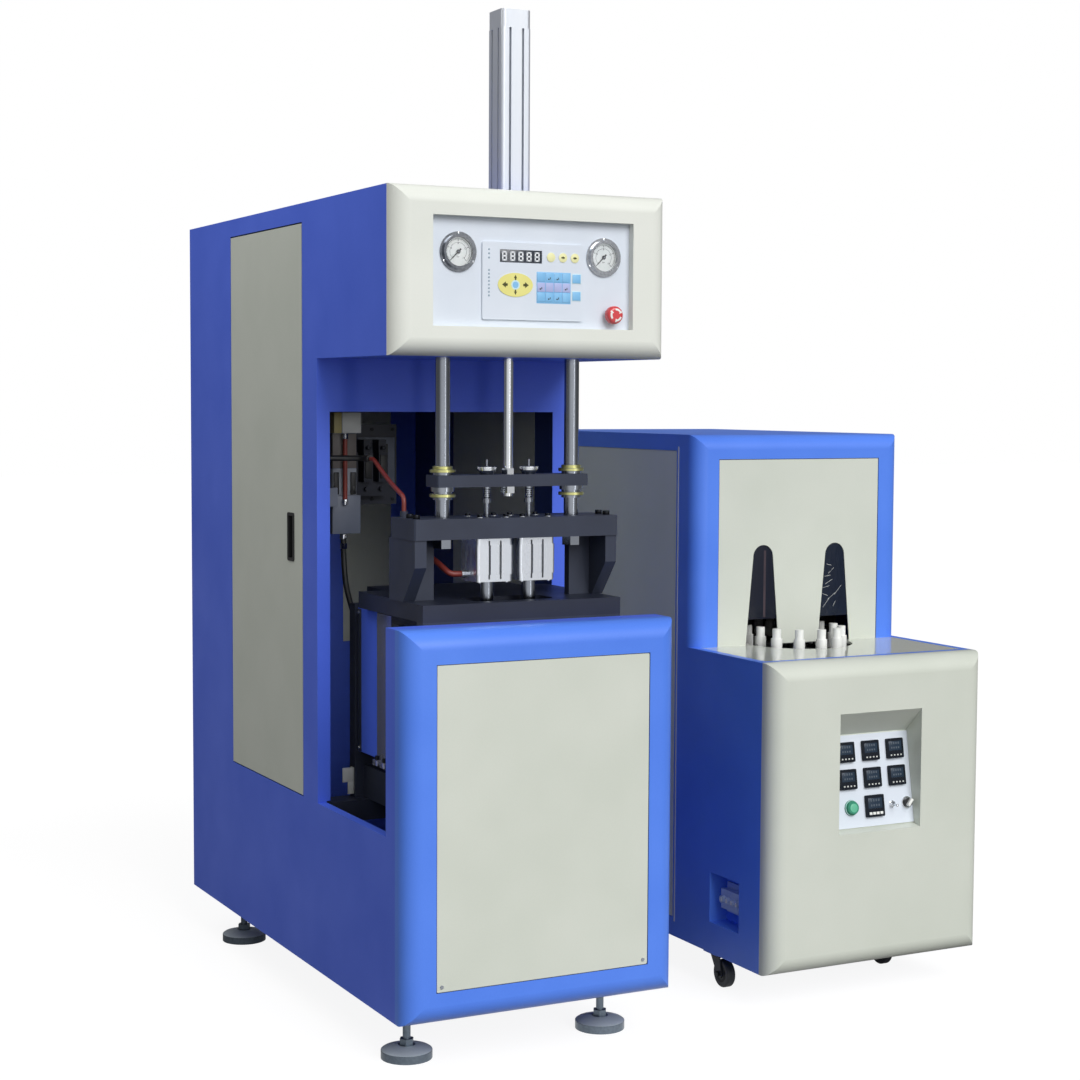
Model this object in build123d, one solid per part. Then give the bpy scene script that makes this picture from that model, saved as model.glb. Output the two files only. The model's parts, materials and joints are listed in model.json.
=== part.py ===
from build123d import *
import math
import os

# Semi-automatic bottle blow moulding machine: a blow station and its preform heater.
# Millimetres, +Z up. The operator stands at low Y and faces +Y. Sizes are first given in the
# station's own frame: X from its left face, Y from the front of its lower cover, Z from the floor.

# Blow station, cabinet
station_width = 600.0
station_back = 1318.0
sheet = 3.0
flange = 20.0
cabinet_bottom = 112.0
cabinet_top = 1725.0
tall_front = 461.0
sill_height = 470.0
bay_wall_front = 95.0
tall_opening_left = 28.5
tall_opening_right = 49.0
tall_opening_top = 1290.0

# Head of the blow station
head_bottom = 1400.0
head_seam = 91.0
head_front = 55.0
head_nose = 34.0
head_recess_half = 219.0
head_recess_bottom = 1457.0
head_recess_top = 1668.0
panel_face = 72.0
panel_thickness = 2.0
panel_margin = 12.0
head_beam_thickness = 25.0

# Lower cover
cover_seam = 50.0
cover_nose = 38.0
cover_top = 878.0
cover_panel_half = 233.0
cover_panel_bottom = 178.0
cover_panel_top = 811.0
skin = 4.0
seat_lip = 15.0
panel_gap = 1.5
panel_set_back = 1.0
screw_proud = 1.0

# Side door
door_front = 546.0
door_rear = 1012.0
door_bottom = 469.0
door_top = 1686.0
door_gap = 3.0
door_return = 20.0
door_sheet = 2.0
pivot_inset = 10.0
pivot_radius = 4.0
handle_front = 596.0
handle_width = 40.0
handle_bottom = 969.0
handle_height = 104.0
handle_depth = 18.0
handle_rim = 5.0
handle_proud = 2.0

# Guide columns, bridge and carriage
axis_y = 174.0
column_radius = 15.0
column_offset = 144.5
bridge_bottom = 1041.0
bridge_thickness = 41.0
bridge_half = 227.0
bridge_front = 123.5
bridge_back = 243.0
carriage_gap = 61.0
carriage_thickness = 24.0
carriage_half = 168.0
carriage_depth = 60.0
running_fit = 0.05
bush_radius = 20.0
bush_flange_radius = 26.0
bush_length = 25.0
nozzle_offset = 47.2

# Stretch cylinder and its rod
profile_width = 64.0
profile_bore_radius = 25.0
profile_groove = 8.0
stretch_top = 2085.0
stretch_cap = 36.0
piston_rod_radius = 10.0
piston_length = 30.0
stretch_down = 33.0

# Stretch rods, blow cylinders and nozzles
stretch_rod_radius = 5.0
stretch_rod_tip = 700.0
adjuster_radius = 8.5
adjuster_wheel_radius = 18.0
adjuster_pin_radius = 2.5
adjuster_neck_radius = 7.0
adjuster_height = 30.0
adjuster_drop = 22.0
blow_width = 80.0
blow_length = 87.0
blow_cap = 14.0
blow_bore_radius = 31.5
blow_stroke = 27.0
nozzle_radius = 14.0
nozzle_bottom = 904.0
nozzle_bore_radius = 6.0

# Legs and table
leg_half = 225.0
leg_plate = 25.0
leg_front = 127.0
leg_back = 255.0
leg_knee = 987.0
leg_foot_front = 185.0
web_width = 47.0
web_setback = 12.0
web_thickness = 20.0
table_top = 916.0
table_thickness = 34.0
table_half = 220.0
table_front = 99.0
table_back = 430.0
table_tongue_half = 160.0
table_slot_half = 90.0
table_slot_depth = 80.0

# Mould clamp
mould_half_width = 200.0
mould_bottom = 570.0
rail_top = 537.0
mould_top = 877.0
front_mould_thickness = 45.0
rear_mould_thickness = 75.0
moving_platen_thickness = 105.0
front_platen_thickness = 30.0
rear_plate_thickness = 30.0
clamp_stroke = 129.5
parting_gap = 0.5
rear_clearance = 16.0
cross_height = 44.0
rail_width = 40.0
rail_offset = 160.0
cross_width = 60.0
tie_radius = 12.5
tie_inset = 25.0
tie_rise = 34.0
clamp_rod_radius = 20.0
clamp_tube_radius = 80.0
clamp_bore_radius = 75.0
clamp_cap = 25.0
clamp_length = 190.0
bottle_radius = 35.0
bottle_height = 250.0
bottle_neck_radius = 15.0
bottle_neck_height = 22.0
bottle_shoulder = 45.0

# Gauges, keypad and stop button
gauge_offset = 159.5
gauge_rise = 143.0
gauge_flange_radius = 38.5
gauge_flange = 3.0
gauge_ring_radius = 33.0
gauge_ring_height = 9.0
gauge_dial_radius = 28.0
gauge_case_radius = 30.0
gauge_case_depth = 32.0
gauge_rest_angle = 225.0
needle_length = 23.0
needle_hub_radius = 4.0
keypad_shift = 109.0
keypad_width = 221.0
keypad_rise = 15.0
keypad_height = 150.0
keypad_thickness = 4.0
key_rise = 0.8
stop_shift = 177.0
stop_rise = 29.0
stop_radius = 18.0
stop_stem_radius = 8.0
stop_collar_radius = 14.0
stop_travel = 5.0
stop_head = 15.0
stop_head_gap = 9.5
stop_stem_length = 26.0
stop_block_depth = 30.0

# Valves, filter and air hoses
valve_left = 40.0
valve_y = 745.0
valve_bottom = 1080.0
valve_plate_width = 260.0
valve_plate_height = 180.0
valve_count = 4
valve_pitch = 36.0
valve_width = 22.0
manifold_inset = 80.0
manifold_width = 150.0
manifold_depth = 28.0
manifold_height = 32.0
filter_x = 77.0
filter_width = 62.0
filter_y = 560.0
filter_depth = 50.0
filter_gap = 2.0
filter_height = 260.0
filter_head = 45.0
filter_bowl = 82.0
filter_arm_rise = 60.0
filter_arm_height = 40.0
filter_port_drop = 96.0
hose_radius = 6.0
fitting_radius = 8.0
fitting_length = 12.0
bridge_port_inset = 20.0
bridge_port_back = 21.0
cylinder_port_set = 10.0
cylinder_port_drop = 73.0
hose_start = 40.0
wall_port_back = 51.0
hose_joint_shift = 188.0
hose_joint_length = 16.0
thin_hose_radius = 4.5
table_port_shift = 150.0
table_port_y = 300.0
clamp_port_rise = 22.0
supply_hose_route = ((0.19, 0.347, 0.0), (0.615, 0.291, 0.0))
over_hose_route = ((0.09, 0.006, 0.024), (0.333, 0.008, 0.0), (0.649, 0.004, -0.012))
short_hose_route = ((0.25, -0.084, 0.2), (0.6, -0.09, 0.336), (0.9, -0.04, 0.27))
clamp_hose_route = ((0.25, -0.057, 0.0), (0.5, -0.065, 0.0), (0.75, -0.04, -0.05))

# Right side panel of the cabinet
right_panel_front = 653.0
right_panel_back = 1062.0

# Levelling feet
foot_side_inset = 79.0
foot_front = 175.0
foot_back = 1169.0
pad_radius = 52.0
pad_height = 26.0
stud_radius = 8.0
foot_nut_radius = 15.0
foot_nut_height = 13.0

# Preform heater, shell
heater_gap = 284.0
heater_width = 567.0
heater_bottom = 79.0
heater_seam = 123.0
heater_front = 79.0
heater_nose = 38.0
heater_back = 1245.0
deck_height = 757.5
deck_rim = 20.0
tower_seam = 441.0
tower_front = 403.0
tower_nose = 34.0
tower_top = 1240.0
tower_panel_half = 220.0
tower_panel_top = 1183.0
side_panel_front = 486.0
side_panel_back = 1195.0
side_panel_bottom = 123.0
side_panel_top = 1203.0

# Preform track
track_half = 99.5
track_front_centre = 405.0
track_back_centre = 1050.0
track_margin = 26.0
holder_count = 36
holder_radius = 10.0
holder_collar_radius = 13.0
holder_height = 40.0
link_thickness = 3.0
link_width = 18.0
chain_drop = 22.0
slot_top_radius = 27.0
slot_bottom_half = 45.0
slot_top = 987.0
lamp_count = 5
lamp_radius = 5.0
lamp_length = 560.0
lamp_pitch = 32.0
lamp_inset = 40.0
lamp_offset = 169.5
reflector_sheet = 2.0

# Heater controls
pocket_left = 1058.0
pocket_width = 219.0
pocket_bottom = 376.0
pocket_top = 642.0
pocket_foot_depth = 24.0
pocket_foot_rise = 5.0
pocket_head_depth = 57.0
pocket_head_drop = 57.0
pocket_wall = 3.0
control_thickness = 3.0
control_gap = 0.5
controller_size = 44.0
master_size = 48.0
controller_shift = 3.5
controller_pitch = 66.0
controller_row = 59.5
controller_top_row = 168.0
controller_proud = 7.0
control_low_row = 46.0
button_x = -57.5
button_radius = 14.0
button_height = 8.0
button_travel = 3.0
toggle_x = 52.5
toggle_ball = 3.2
toggle_pin_radius = 1.4
toggle_pin_length = 7.8
toggle_lean = 12.0
knob_x = 93.0
knob_radius = 10.0
socket_front = 205.0
socket_back = 325.0
socket_bottom = 149.0
socket_top = 262.0
socket_depth = 45.0

# Castors
castor_left_inset = 32.0
castor_right_inset = 100.0
castor_front = 328.0
castor_back_inset = 130.0
wheel_radius = 31.5
wheel_width = 22.0
castor_trail = 18.0
castor_plate = 4.0
castor_plate_size = 56.0
kingpin_radius = 6.0
axle_radius = 4.0
fork_wall = 3.0

total_width = station_width + heater_gap + heater_width
middle_x = station_width / 2
heater_left = station_width + heater_gap
heater_right = heater_left + heater_width
heater_middle = heater_left + heater_width / 2
gauge_height = head_recess_bottom + gauge_rise
keypad_left = middle_x - keypad_shift
keypad_bottom = head_recess_bottom + keypad_rise
stop_x = middle_x + stop_shift
stop_height = head_recess_bottom + stop_rise
filter_top = tall_opening_top - filter_gap
filter_bottom = filter_top - filter_height
filter_foot_y = filter_y + filter_depth / 2
filter_foot_z = filter_bottom - fitting_length
wall_port_y = tall_front + wall_port_back
wall_port_z = filter_top - filter_port_drop
hose_joint_x = middle_x - hose_joint_shift
hose_joint_y = tall_front - 1
table_port_x = middle_x - table_port_shift
bridge_top = bridge_bottom + bridge_thickness
bridge_port_x = middle_x - bridge_half + bridge_port_inset
bridge_port_y = bridge_back - bridge_port_back
cylinder_port_y = axis_y + cylinder_port_set
cylinder_port_z = bridge_bottom - cylinder_port_drop
carriage_bottom = bridge_top + carriage_gap
carriage_top = carriage_bottom + carriage_thickness
beam_bottom = head_bottom + sheet
beam_top = beam_bottom + head_beam_thickness
table_bottom = table_top - table_thickness
rail_bottom = sill_height - sheet
front_platen_back = axis_y - front_mould_thickness
front_platen_front = front_platen_back - front_platen_thickness
rear_mould_front = axis_y + parting_gap + clamp_stroke
moving_platen_front = rear_mould_front + rear_mould_thickness
moving_platen_back = moving_platen_front + moving_platen_thickness
rear_plate_front = moving_platen_back + rear_clearance
rear_plate_back = rear_plate_front + rear_plate_thickness
clamp_middle_z = (mould_bottom + mould_top) / 2
clamp_port_x = middle_x - clamp_tube_radius - 5 - fitting_length
clamp_port_y = rear_plate_back + clamp_cap / 2
clamp_port_z = clamp_middle_z + clamp_port_rise


def block(x0, x1, y0, y1, z0, z1):
    """Box between two corners."""
    return Pos(x0, y0, z0) * Box(x1 - x0, y1 - y0, z1 - z0, align=(Align.MIN, Align.MIN, Align.MIN))


def bar(radius, x, y, z, length, axis="Z"):
    """Round bar that starts at a point and runs along one axis."""
    turns = {"Z": Rot(0, 0, 0), "Y": Rot(-90, 0, 0), "X": Rot(0, 90, 0)}
    round_bar = Cylinder(radius, length, align=(Align.CENTER, Align.CENTER, Align.MIN))
    return Pos(x, y, z) * turns[axis] * round_bar


def hexagon(radius, x, y, z, height):
    """Hexagonal nut blank standing on a point."""
    return Pos(x, y, z) * extrude(RegularPolygon(radius, 6), amount=height)


def profile_along_x(points, x0, x1):
    """Solid with a (y, z) outline, from x0 to x1."""
    outline = make_face(Polyline(*[(0, y, z) for y, z in points], close=True))
    return Pos(x0, 0, 0) * extrude(outline, amount=x1 - x0, dir=(1, 0, 0))


def nose_slab(x0, x1, y0, y1, z0, z1, radius):
    """Slab with all four front edges rounded and mitred at the corners."""
    slab = block(x0, x1, y0, y1, z0, z1)
    level = fillet(slab.edges().filter_by(Axis.X).filter_by_position(Axis.Y, y0 - 1, y0 + 1), radius)
    upright = fillet(slab.edges().filter_by(Axis.Z).filter_by_position(Axis.Y, y0 - 1, y0 + 1), radius)
    return level & upright


def nose_tray(x0, x1, y0, y1, z0, z1, radius, wall):
    """Hollow rounded frame blank, open at its back."""
    outer = nose_slab(x0, x1, y0, y1, z0, z1, radius)
    inner = nose_slab(x0 + wall, x1 - wall, y0 + wall, y1 + wall, z0 + wall, z1 - wall, radius - wall)
    return outer - inner


def mirror_pair(x_centre, offset):
    """The two X positions at each side of a centre."""
    return (x_centre - offset, x_centre + offset)


def cabinet_shell():
    """Folded sheet cabinet with a head arm, a low front box and a tall rear part."""
    t = sheet
    outer = profile_along_x(
        [(cover_seam, cabinet_bottom), (station_back, cabinet_bottom), (station_back, cabinet_top),
         (head_seam, cabinet_top), (head_seam, head_bottom), (tall_front, head_bottom),
         (tall_front, sill_height), (bay_wall_front, sill_height), (bay_wall_front, cover_top),
         (cover_seam, cover_top)], 0, station_width)
    inner = profile_along_x(
        [(cover_seam + t, cabinet_bottom + t), (station_back - t, cabinet_bottom + t),
         (station_back - t, cabinet_top - t), (head_seam + t, cabinet_top - t),
         (head_seam + t, head_bottom + t), (tall_front + t, head_bottom + t),
         (tall_front + t, sill_height - t), (bay_wall_front - t, sill_height - t),
         (bay_wall_front - t, cover_top - t), (cover_seam + t, cover_top - t)], t, station_width - t)
    shell = outer - inner
    shell -= block(flange, station_width - flange, cover_seam - t, bay_wall_front - 2 * t,
                   cabinet_bottom + flange, cover_top - flange)
    shell -= block(flange, station_width - flange, bay_wall_front - 2 * t, bay_wall_front + t,
                   sill_height - 2 * t, cover_top - t)
    shell -= block(flange, station_width - flange, bay_wall_front - 2 * t, tall_front + 2 * t,
                   sill_height - 2 * t, sill_height + t)
    shell -= block(tall_opening_left, station_width - tall_opening_right, tall_front - t,
                   tall_front + 2 * t, sill_height - 2 * t, tall_opening_top)
    shell -= block(flange, station_width - flange, head_seam - t, head_seam + 2 * t,
                   head_bottom + flange, cabinet_top - flange)
    for x in mirror_pair(middle_x, column_offset):
        shell -= bar(column_radius + 2, x, axis_y, head_bottom - t, 3 * t)
    shell -= bar(piston_rod_radius + 5, middle_x, axis_y, head_bottom - t, 3 * t)
    roof_hole = profile_width / 2 + 3
    shell -= block(middle_x - roof_hole, middle_x + roof_hole, axis_y - roof_hole, axis_y + roof_hole,
                   cabinet_top - 2 * t, cabinet_top + t)
    shell -= block(-t, 2 * t, door_front, door_rear, door_bottom, door_top)
    shell -= block(station_width - 2 * t, station_width + t, right_panel_front, right_panel_back,
                   door_bottom, door_top)
    shell += bar(fitting_radius, t, wall_port_y, wall_port_z, fitting_length, "X")
    for x in mirror_pair(middle_x, middle_x - foot_side_inset):
        for y in (foot_front, foot_back):
            shell -= bar(stud_radius + 0.3, x, y, cabinet_bottom - t, 3 * t)
    pin_y = door_rear - pivot_inset - door_gap
    lug = door_return / 2
    above = (door_top + door_gap, door_top - 2 * lug)
    below = (door_bottom - door_gap - lug, door_bottom - lug)
    for lug_z, pin_z in (above, below):
        shell += block(t, 2 * lug, pin_y - lug, pin_y + lug, lug_z, lug_z + lug)
        shell += bar(pivot_radius, pivot_inset, pin_y, pin_z, 3 * lug)
    return shell


def cabinet_side_panel():
    """Cream panel that fills the opening in the cabinet's right wall."""
    g = panel_gap
    x0 = station_width - sheet
    panel = block(x0, station_width, right_panel_front + g, right_panel_back - g,
                  door_bottom + g, door_top - g)
    panel += block(x0 - panel_thickness, x0, right_panel_front - seat_lip, right_panel_back + seat_lip,
                   door_bottom - seat_lip, door_top + seat_lip)
    return panel


def cabinet_door():
    """Door pan with folded returns, pivot holes and the cut-out of its handle."""
    y0 = door_front + door_gap
    y1 = door_rear - door_gap
    z0 = door_bottom + door_gap
    z1 = door_top - door_gap
    w = door_sheet
    door = block(0, door_return, y0, y1, z0, z1)
    door -= block(w, door_return + w, y0 + w, y1 - w, z0 + w, z1 - w)
    pin_y = door_rear - pivot_inset - door_gap
    door -= bar(pivot_radius + running_fit, pivot_inset, pin_y, z0 - w, z1 - z0 + 2 * w)
    door -= block(-w, 2 * w, handle_front + handle_rim, handle_front + handle_width - handle_rim,
                  handle_bottom + handle_rim, handle_bottom + handle_height - handle_rim)
    return door


def door_handle():
    """Recessed pull cup with a rim that lies on the door."""
    y1 = handle_front + handle_width
    z1 = handle_bottom + handle_height
    rim = handle_rim
    cup = block(-handle_proud, 0, handle_front, y1, handle_bottom, z1)
    cup = fillet(cup.edges().filter_by(Axis.X), rim)
    cup += block(0, handle_depth, handle_front + rim, y1 - rim, handle_bottom + rim, z1 - rim)
    wall = rim + door_sheet
    cup -= block(-2 * handle_proud, handle_depth - door_sheet, handle_front + wall, y1 - wall,
                 handle_bottom + wall, z1 - wall)
    return cup


def head_frame():
    """Cream frame round the control panel, with a deep recess and a seat for the panel."""
    x0, x1 = mirror_pair(middle_x, head_recess_half)
    frame = nose_tray(0, station_width, head_front, head_seam, head_bottom, cabinet_top, head_nose, skin)
    grow = panel_margin + skin
    seat_back = panel_face + panel_thickness + skin
    frame += block(x0 - grow, x1 + grow, head_front + skin / 2, seat_back,
                   head_recess_bottom - grow, head_recess_top + grow)
    frame -= block(x0, x1, head_front - skin, seat_back + skin, head_recess_bottom, head_recess_top)
    frame -= block(x0 - panel_margin, x1 + panel_margin, panel_face, seat_back + skin,
                   head_recess_bottom - panel_margin, head_recess_top + panel_margin)
    return frame


def head_panel():
    """Control panel plate with cut-outs for gauges, keypad body and stop button."""
    edge = panel_margin - panel_gap / 3
    x0, x1 = mirror_pair(middle_x, head_recess_half + edge)
    plate = block(x0, x1, panel_face, panel_face + panel_thickness,
                  head_recess_bottom - edge, head_recess_top + edge)
    for x in mirror_pair(middle_x, gauge_offset):
        plate -= bar(gauge_case_radius + 0.3, x, panel_face - skin, gauge_height, 3 * skin, "Y")
    plate -= bar(stop_stem_radius + 3, stop_x, panel_face - skin, stop_height, 3 * skin, "Y")
    return plate


def stop_collar():
    """Threaded collar and contact block of the stop button, behind and before the panel."""
    collar = bar(stop_collar_radius, stop_x, panel_face - skin, stop_height, skin, "Y")
    collar += bar(stop_stem_radius + 3, stop_x, panel_face, stop_height, 2 * skin, "Y")
    rear = panel_face + panel_thickness
    collar += block(stop_x - stop_collar_radius, stop_x + stop_collar_radius, rear, rear + stop_block_depth,
                    stop_height - stop_collar_radius, stop_height + stop_collar_radius)
    bore_front = panel_face - 2 * skin
    bore_back = panel_face - stop_head_gap + stop_stem_length + stop_travel + 1
    collar -= bar(stop_stem_radius + 0.1, stop_x, bore_front, stop_height, bore_back - bore_front, "Y")
    return collar


def head_beam():
    """Thick plate in the head that holds the columns and the stretch cylinder."""
    beam = block(3 * flange, station_width - 3 * flange, head_seam + flange, tall_front,
                 beam_bottom, beam_top)
    for x in mirror_pair(middle_x, column_offset):
        beam -= bar(column_radius, x, axis_y, beam_bottom - sheet, head_beam_thickness + 2 * sheet)
    beam -= bar(piston_rod_radius + 5, middle_x, axis_y, beam_bottom - sheet,
                head_beam_thickness + 2 * sheet)
    return beam


def gauge_case(x):
    """Gauge case with flange, bezel ring, dial face and needle post."""
    face = panel_face
    case = bar(gauge_flange_radius, x, face - gauge_flange, gauge_height, gauge_flange, "Y")
    case += bar(gauge_ring_radius, x, face - gauge_ring_height, gauge_height, gauge_ring_height, "Y")
    case += bar(gauge_case_radius, x, face, gauge_height, gauge_case_depth, "Y")
    case -= bar(gauge_dial_radius, x, face - gauge_ring_height - 1, gauge_height, gauge_ring_height + 1, "Y")
    case += bar(1.5, x, face - 4, gauge_height, 5, "Y")
    case += bar(6, x, face + gauge_case_depth, gauge_height, 20, "Y")
    return case


def gauge_needle(x):
    """Tapered pointer with a hub, pointing down and to the left."""
    pointer = Polyline((-1.6, -8), (1.6, -8), (0.5, needle_length), (-0.5, needle_length), close=True)
    blade = extrude(make_face(pointer), amount=0.6)
    blade += Cylinder(needle_hub_radius, 1.4, align=(Align.CENTER, Align.CENTER, Align.MIN))
    blade -= Cylinder(1.5 + running_fit, 8)
    turned = Rot(90, 0, 0) * (Rot(0, 0, gauge_rest_angle - 90) * blade)
    return Pos(x, panel_face - 1.5, gauge_height) * turned


def gauge_lens(x):
    """Flat glass held in the bezel ring."""
    return bar(gauge_dial_radius - 0.1, x, panel_face - gauge_ring_height + 1, gauge_height, 2, "Y")


def keypad_unit():
    """Control unit plate with a display window and raised keys."""
    z0 = keypad_bottom
    x0 = keypad_left
    front = panel_face - keypad_thickness
    unit = block(x0, x0 + keypad_width, front, panel_face, z0, z0 + keypad_height)
    unit = fillet(unit.edges().filter_by(Axis.Y), 4)
    display_x = x0 + keypad_width * 0.17
    display_z = z0 + keypad_height * 0.74
    unit -= block(display_x, display_x + 92, front - 1, front + 1.5, display_z, display_z + 25)
    for i in range(3):
        unit += bar(9, x0 + 149 + 26.5 * i, front - key_rise, z0 + 124, key_rise, "Y")
    oval = extrude(Ellipse(38, 23), amount=key_rise)
    unit += Pos(x0 + 71, front, z0 + 68) * Rot(90, 0, 0) * oval
    for column in range(4):
        for row in range(3):
            key_x = x0 + 119 + 18.6 * column
            key_z = z0 + 37 + 19.4 * row
            unit += block(key_x, key_x + 17, front - key_rise, front, key_z, key_z + 17.6)
    for key_z in (z0 + 41, z0 + 75):
        unit += block(x0 + 197, x0 + 215, front - key_rise, front, key_z, key_z + 17)
    return unit


def stop_button():
    """Mushroom head and stem of the emergency stop."""
    head_rear = panel_face - stop_head_gap
    stem = bar(stop_stem_radius, stop_x, head_rear, stop_height, stop_stem_length, "Y")
    head = bar(stop_radius, stop_x, head_rear - stop_head, stop_height, stop_head, "Y")
    front = head.edges().filter_by(GeomType.CIRCLE).group_by(Axis.Y)[0]
    return stem + fillet(front, stop_head * 0.55)


def cover_frame():
    """Blue rounded frame of the lower front, with a seat for its panel."""
    x0, x1 = mirror_pair(middle_x, cover_panel_half)
    z0 = cover_panel_bottom
    z1 = cover_panel_top
    g = panel_gap
    frame = nose_tray(0, station_width, 0, cover_seam, cabinet_bottom, cover_top, cover_nose, skin)
    seat = sheet
    frame += block(x0 - seat_lip, x1 + seat_lip, seat, 2 * skin, z0 - seat_lip, z1 + seat_lip)
    frame -= block(x0 - g, x1 + g, -skin, seat, z0 - g, z1 + g)
    frame -= block(x0 + seat_lip, x1 - seat_lip, -skin, 3 * skin, z0 + seat_lip, z1 - seat_lip)
    return frame


def cover_panel():
    """Flat cream panel in the lower cover."""
    x0, x1 = mirror_pair(middle_x, cover_panel_half)
    panel = block(x0, x1, panel_set_back, sheet, cover_panel_bottom, cover_panel_top)
    return fillet(panel.edges().filter_by(Axis.Y), 3)


def panel_screws():
    """Pan head screws at the lower corners of the cover panel."""
    screws = []
    for x in mirror_pair(middle_x, cover_panel_half - 10):
        screws.append(bar(3.5, x, -screw_proud, cover_panel_bottom + 10, screw_proud + panel_set_back, "Y"))
    return screws


def bridge_legs():
    """Two welded legs, each a side gusset with a sloped front and a web plate."""
    outline = [(leg_front, bridge_bottom), (leg_back, bridge_bottom), (leg_back, table_top),
               (leg_foot_front, table_top), (leg_front, leg_knee)]
    legs = []
    for side in (-1, 1):
        outer = middle_x + side * leg_half
        inner = outer - side * leg_plate
        gusset = profile_along_x(outline, min(outer, inner), max(outer, inner))
        web_end = inner - side * web_width
        web_front = leg_foot_front + web_setback
        gusset += block(min(inner, web_end), max(inner, web_end), web_front, web_front + web_thickness,
                        table_top, bridge_bottom)
        legs.append(gusset)
    return legs


def bridge_plate():
    """Heavy plate that joins the legs and carries columns and blow cylinders."""
    plate = block(middle_x - bridge_half, middle_x + bridge_half, bridge_front, bridge_back,
                  bridge_bottom, bridge_top)
    plate = chamfer(plate.edges().filter_by(Axis.Z), 3)
    for x in mirror_pair(middle_x, column_offset):
        plate -= bar(column_radius, x, axis_y, bridge_bottom - 1, bridge_thickness + 2)
    for x in mirror_pair(middle_x, nozzle_offset):
        plate -= bar(adjuster_radius + 2, x, axis_y, bridge_bottom - 1, bridge_thickness + 2)
        for dx in mirror_pair(0, blow_width * 0.36):
            for y in mirror_pair(axis_y, blow_width * 0.36):
                plate += bar(5, x + dx, y, bridge_top, 5)
    for side in mirror_pair(middle_x, leg_half - leg_plate / 2):
        for y in (bridge_front + 25, bridge_back - 2.5 * leg_plate):
            plate += bar(7, side, y, bridge_top, 8)
    plate += bar(fitting_radius, bridge_port_x, bridge_port_y, bridge_top, fitting_length)
    return plate


def guide_columns():
    """Two ground columns, each with a clamp nut under the bridge and one on the head beam."""
    columns = []
    for x in mirror_pair(middle_x, column_offset):
        foot = bridge_bottom - 20
        column = bar(column_radius, x, axis_y, foot, beam_top + 20 - foot)
        column += hexagon(column_radius + 5, x, axis_y, foot, 20)
        column += hexagon(column_radius + 8, x, axis_y, beam_top, 20)
        columns.append(column)
    return columns


def carriage_plate():
    """Plate that carries both stretch rods up and down the columns."""
    y0, y1 = mirror_pair(axis_y, carriage_depth / 2)
    plate = block(middle_x - carriage_half, middle_x + carriage_half, y0, y1, carriage_bottom, carriage_top)
    plate = chamfer(plate.edges().filter_by(Axis.Z), 2)
    for x in mirror_pair(middle_x, column_offset):
        plate -= bar(bush_radius, x, axis_y, carriage_bottom - 1, carriage_thickness + 2)
    for x in mirror_pair(middle_x, nozzle_offset):
        plate -= bar(stretch_rod_radius, x, axis_y, carriage_bottom - 1, carriage_thickness + 2)
    plate -= bar(piston_rod_radius, middle_x, axis_y, carriage_bottom - 1, carriage_thickness + 2)
    return plate


def carriage_bushes():
    """Flanged guide bushes with clamp collars above and below the carriage."""
    bushes = []
    for x in mirror_pair(middle_x, column_offset):
        bush = bar(bush_radius, x, axis_y, carriage_bottom - bush_length, bush_length)
        bush += bar(bush_radius, x, axis_y, carriage_bottom, carriage_thickness)
        bush += bar(bush_radius, x, axis_y, carriage_top, bush_length * 0.7)
        bush += bar(bush_flange_radius, x, axis_y, carriage_top + bush_length * 0.2, bush_length * 0.25)
        bush += bar(bush_flange_radius, x, axis_y, carriage_bottom - bush_length * 0.8, bush_length * 0.25)
        bush += bar(bush_flange_radius - 2, x, axis_y, carriage_bottom - bush_length * 0.35,
                    bush_length * 0.35)
        bush -= bar(column_radius + running_fit, x, axis_y, carriage_bottom - 2 * bush_length,
                    carriage_thickness + 4 * bush_length)
        bushes.append(bush)
    return bushes


def stretch_rods():
    """Two thin stretch rods with knurled adjusters and lock nuts at the carriage."""
    rods = []
    for x in mirror_pair(middle_x, nozzle_offset):
        wheel_top = carriage_top + adjuster_height / 2
        hub_top = wheel_top - adjuster_height / 6
        hub_radius = adjuster_wheel_radius * 0.7
        rod = bar(stretch_rod_radius, x, axis_y, stretch_rod_tip, carriage_top - stretch_rod_tip)
        hub = Cone(hub_radius, adjuster_wheel_radius, hub_top - carriage_top,
                   align=(Align.CENTER, Align.CENTER, Align.MIN))
        rod += Pos(x, axis_y, carriage_top) * hub
        rod += bar(adjuster_wheel_radius, x, axis_y, hub_top, wheel_top - hub_top)
        rod += bar(adjuster_pin_radius, x, axis_y, wheel_top, adjuster_height / 2)
        rod += bar(adjuster_neck_radius, x, axis_y, carriage_bottom - adjuster_drop, adjuster_drop)
        rod += bar(adjuster_radius, x, axis_y, carriage_bottom - adjuster_drop * 1.5, adjuster_drop * 0.4)
        rod = fillet(rod.edges().filter_by(GeomType.CIRCLE).group_by(Axis.Z)[0], stretch_rod_radius * 0.9)
        rods.append(rod)
    return rods


def piston_rod():
    """Stretch cylinder rod with its piston and the nuts that grip the carriage."""
    rest = beam_top + stretch_cap + stretch_down + 2
    foot = carriage_bottom - 20
    rod = bar(piston_rod_radius, middle_x, axis_y, foot, rest - foot)
    rod += bar(profile_bore_radius - running_fit, middle_x, axis_y, rest, piston_length)
    rod += hexagon(16, middle_x, axis_y, carriage_bottom - 14, 14)
    rod += hexagon(14, middle_x, axis_y, carriage_top, 12)
    return rod


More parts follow.
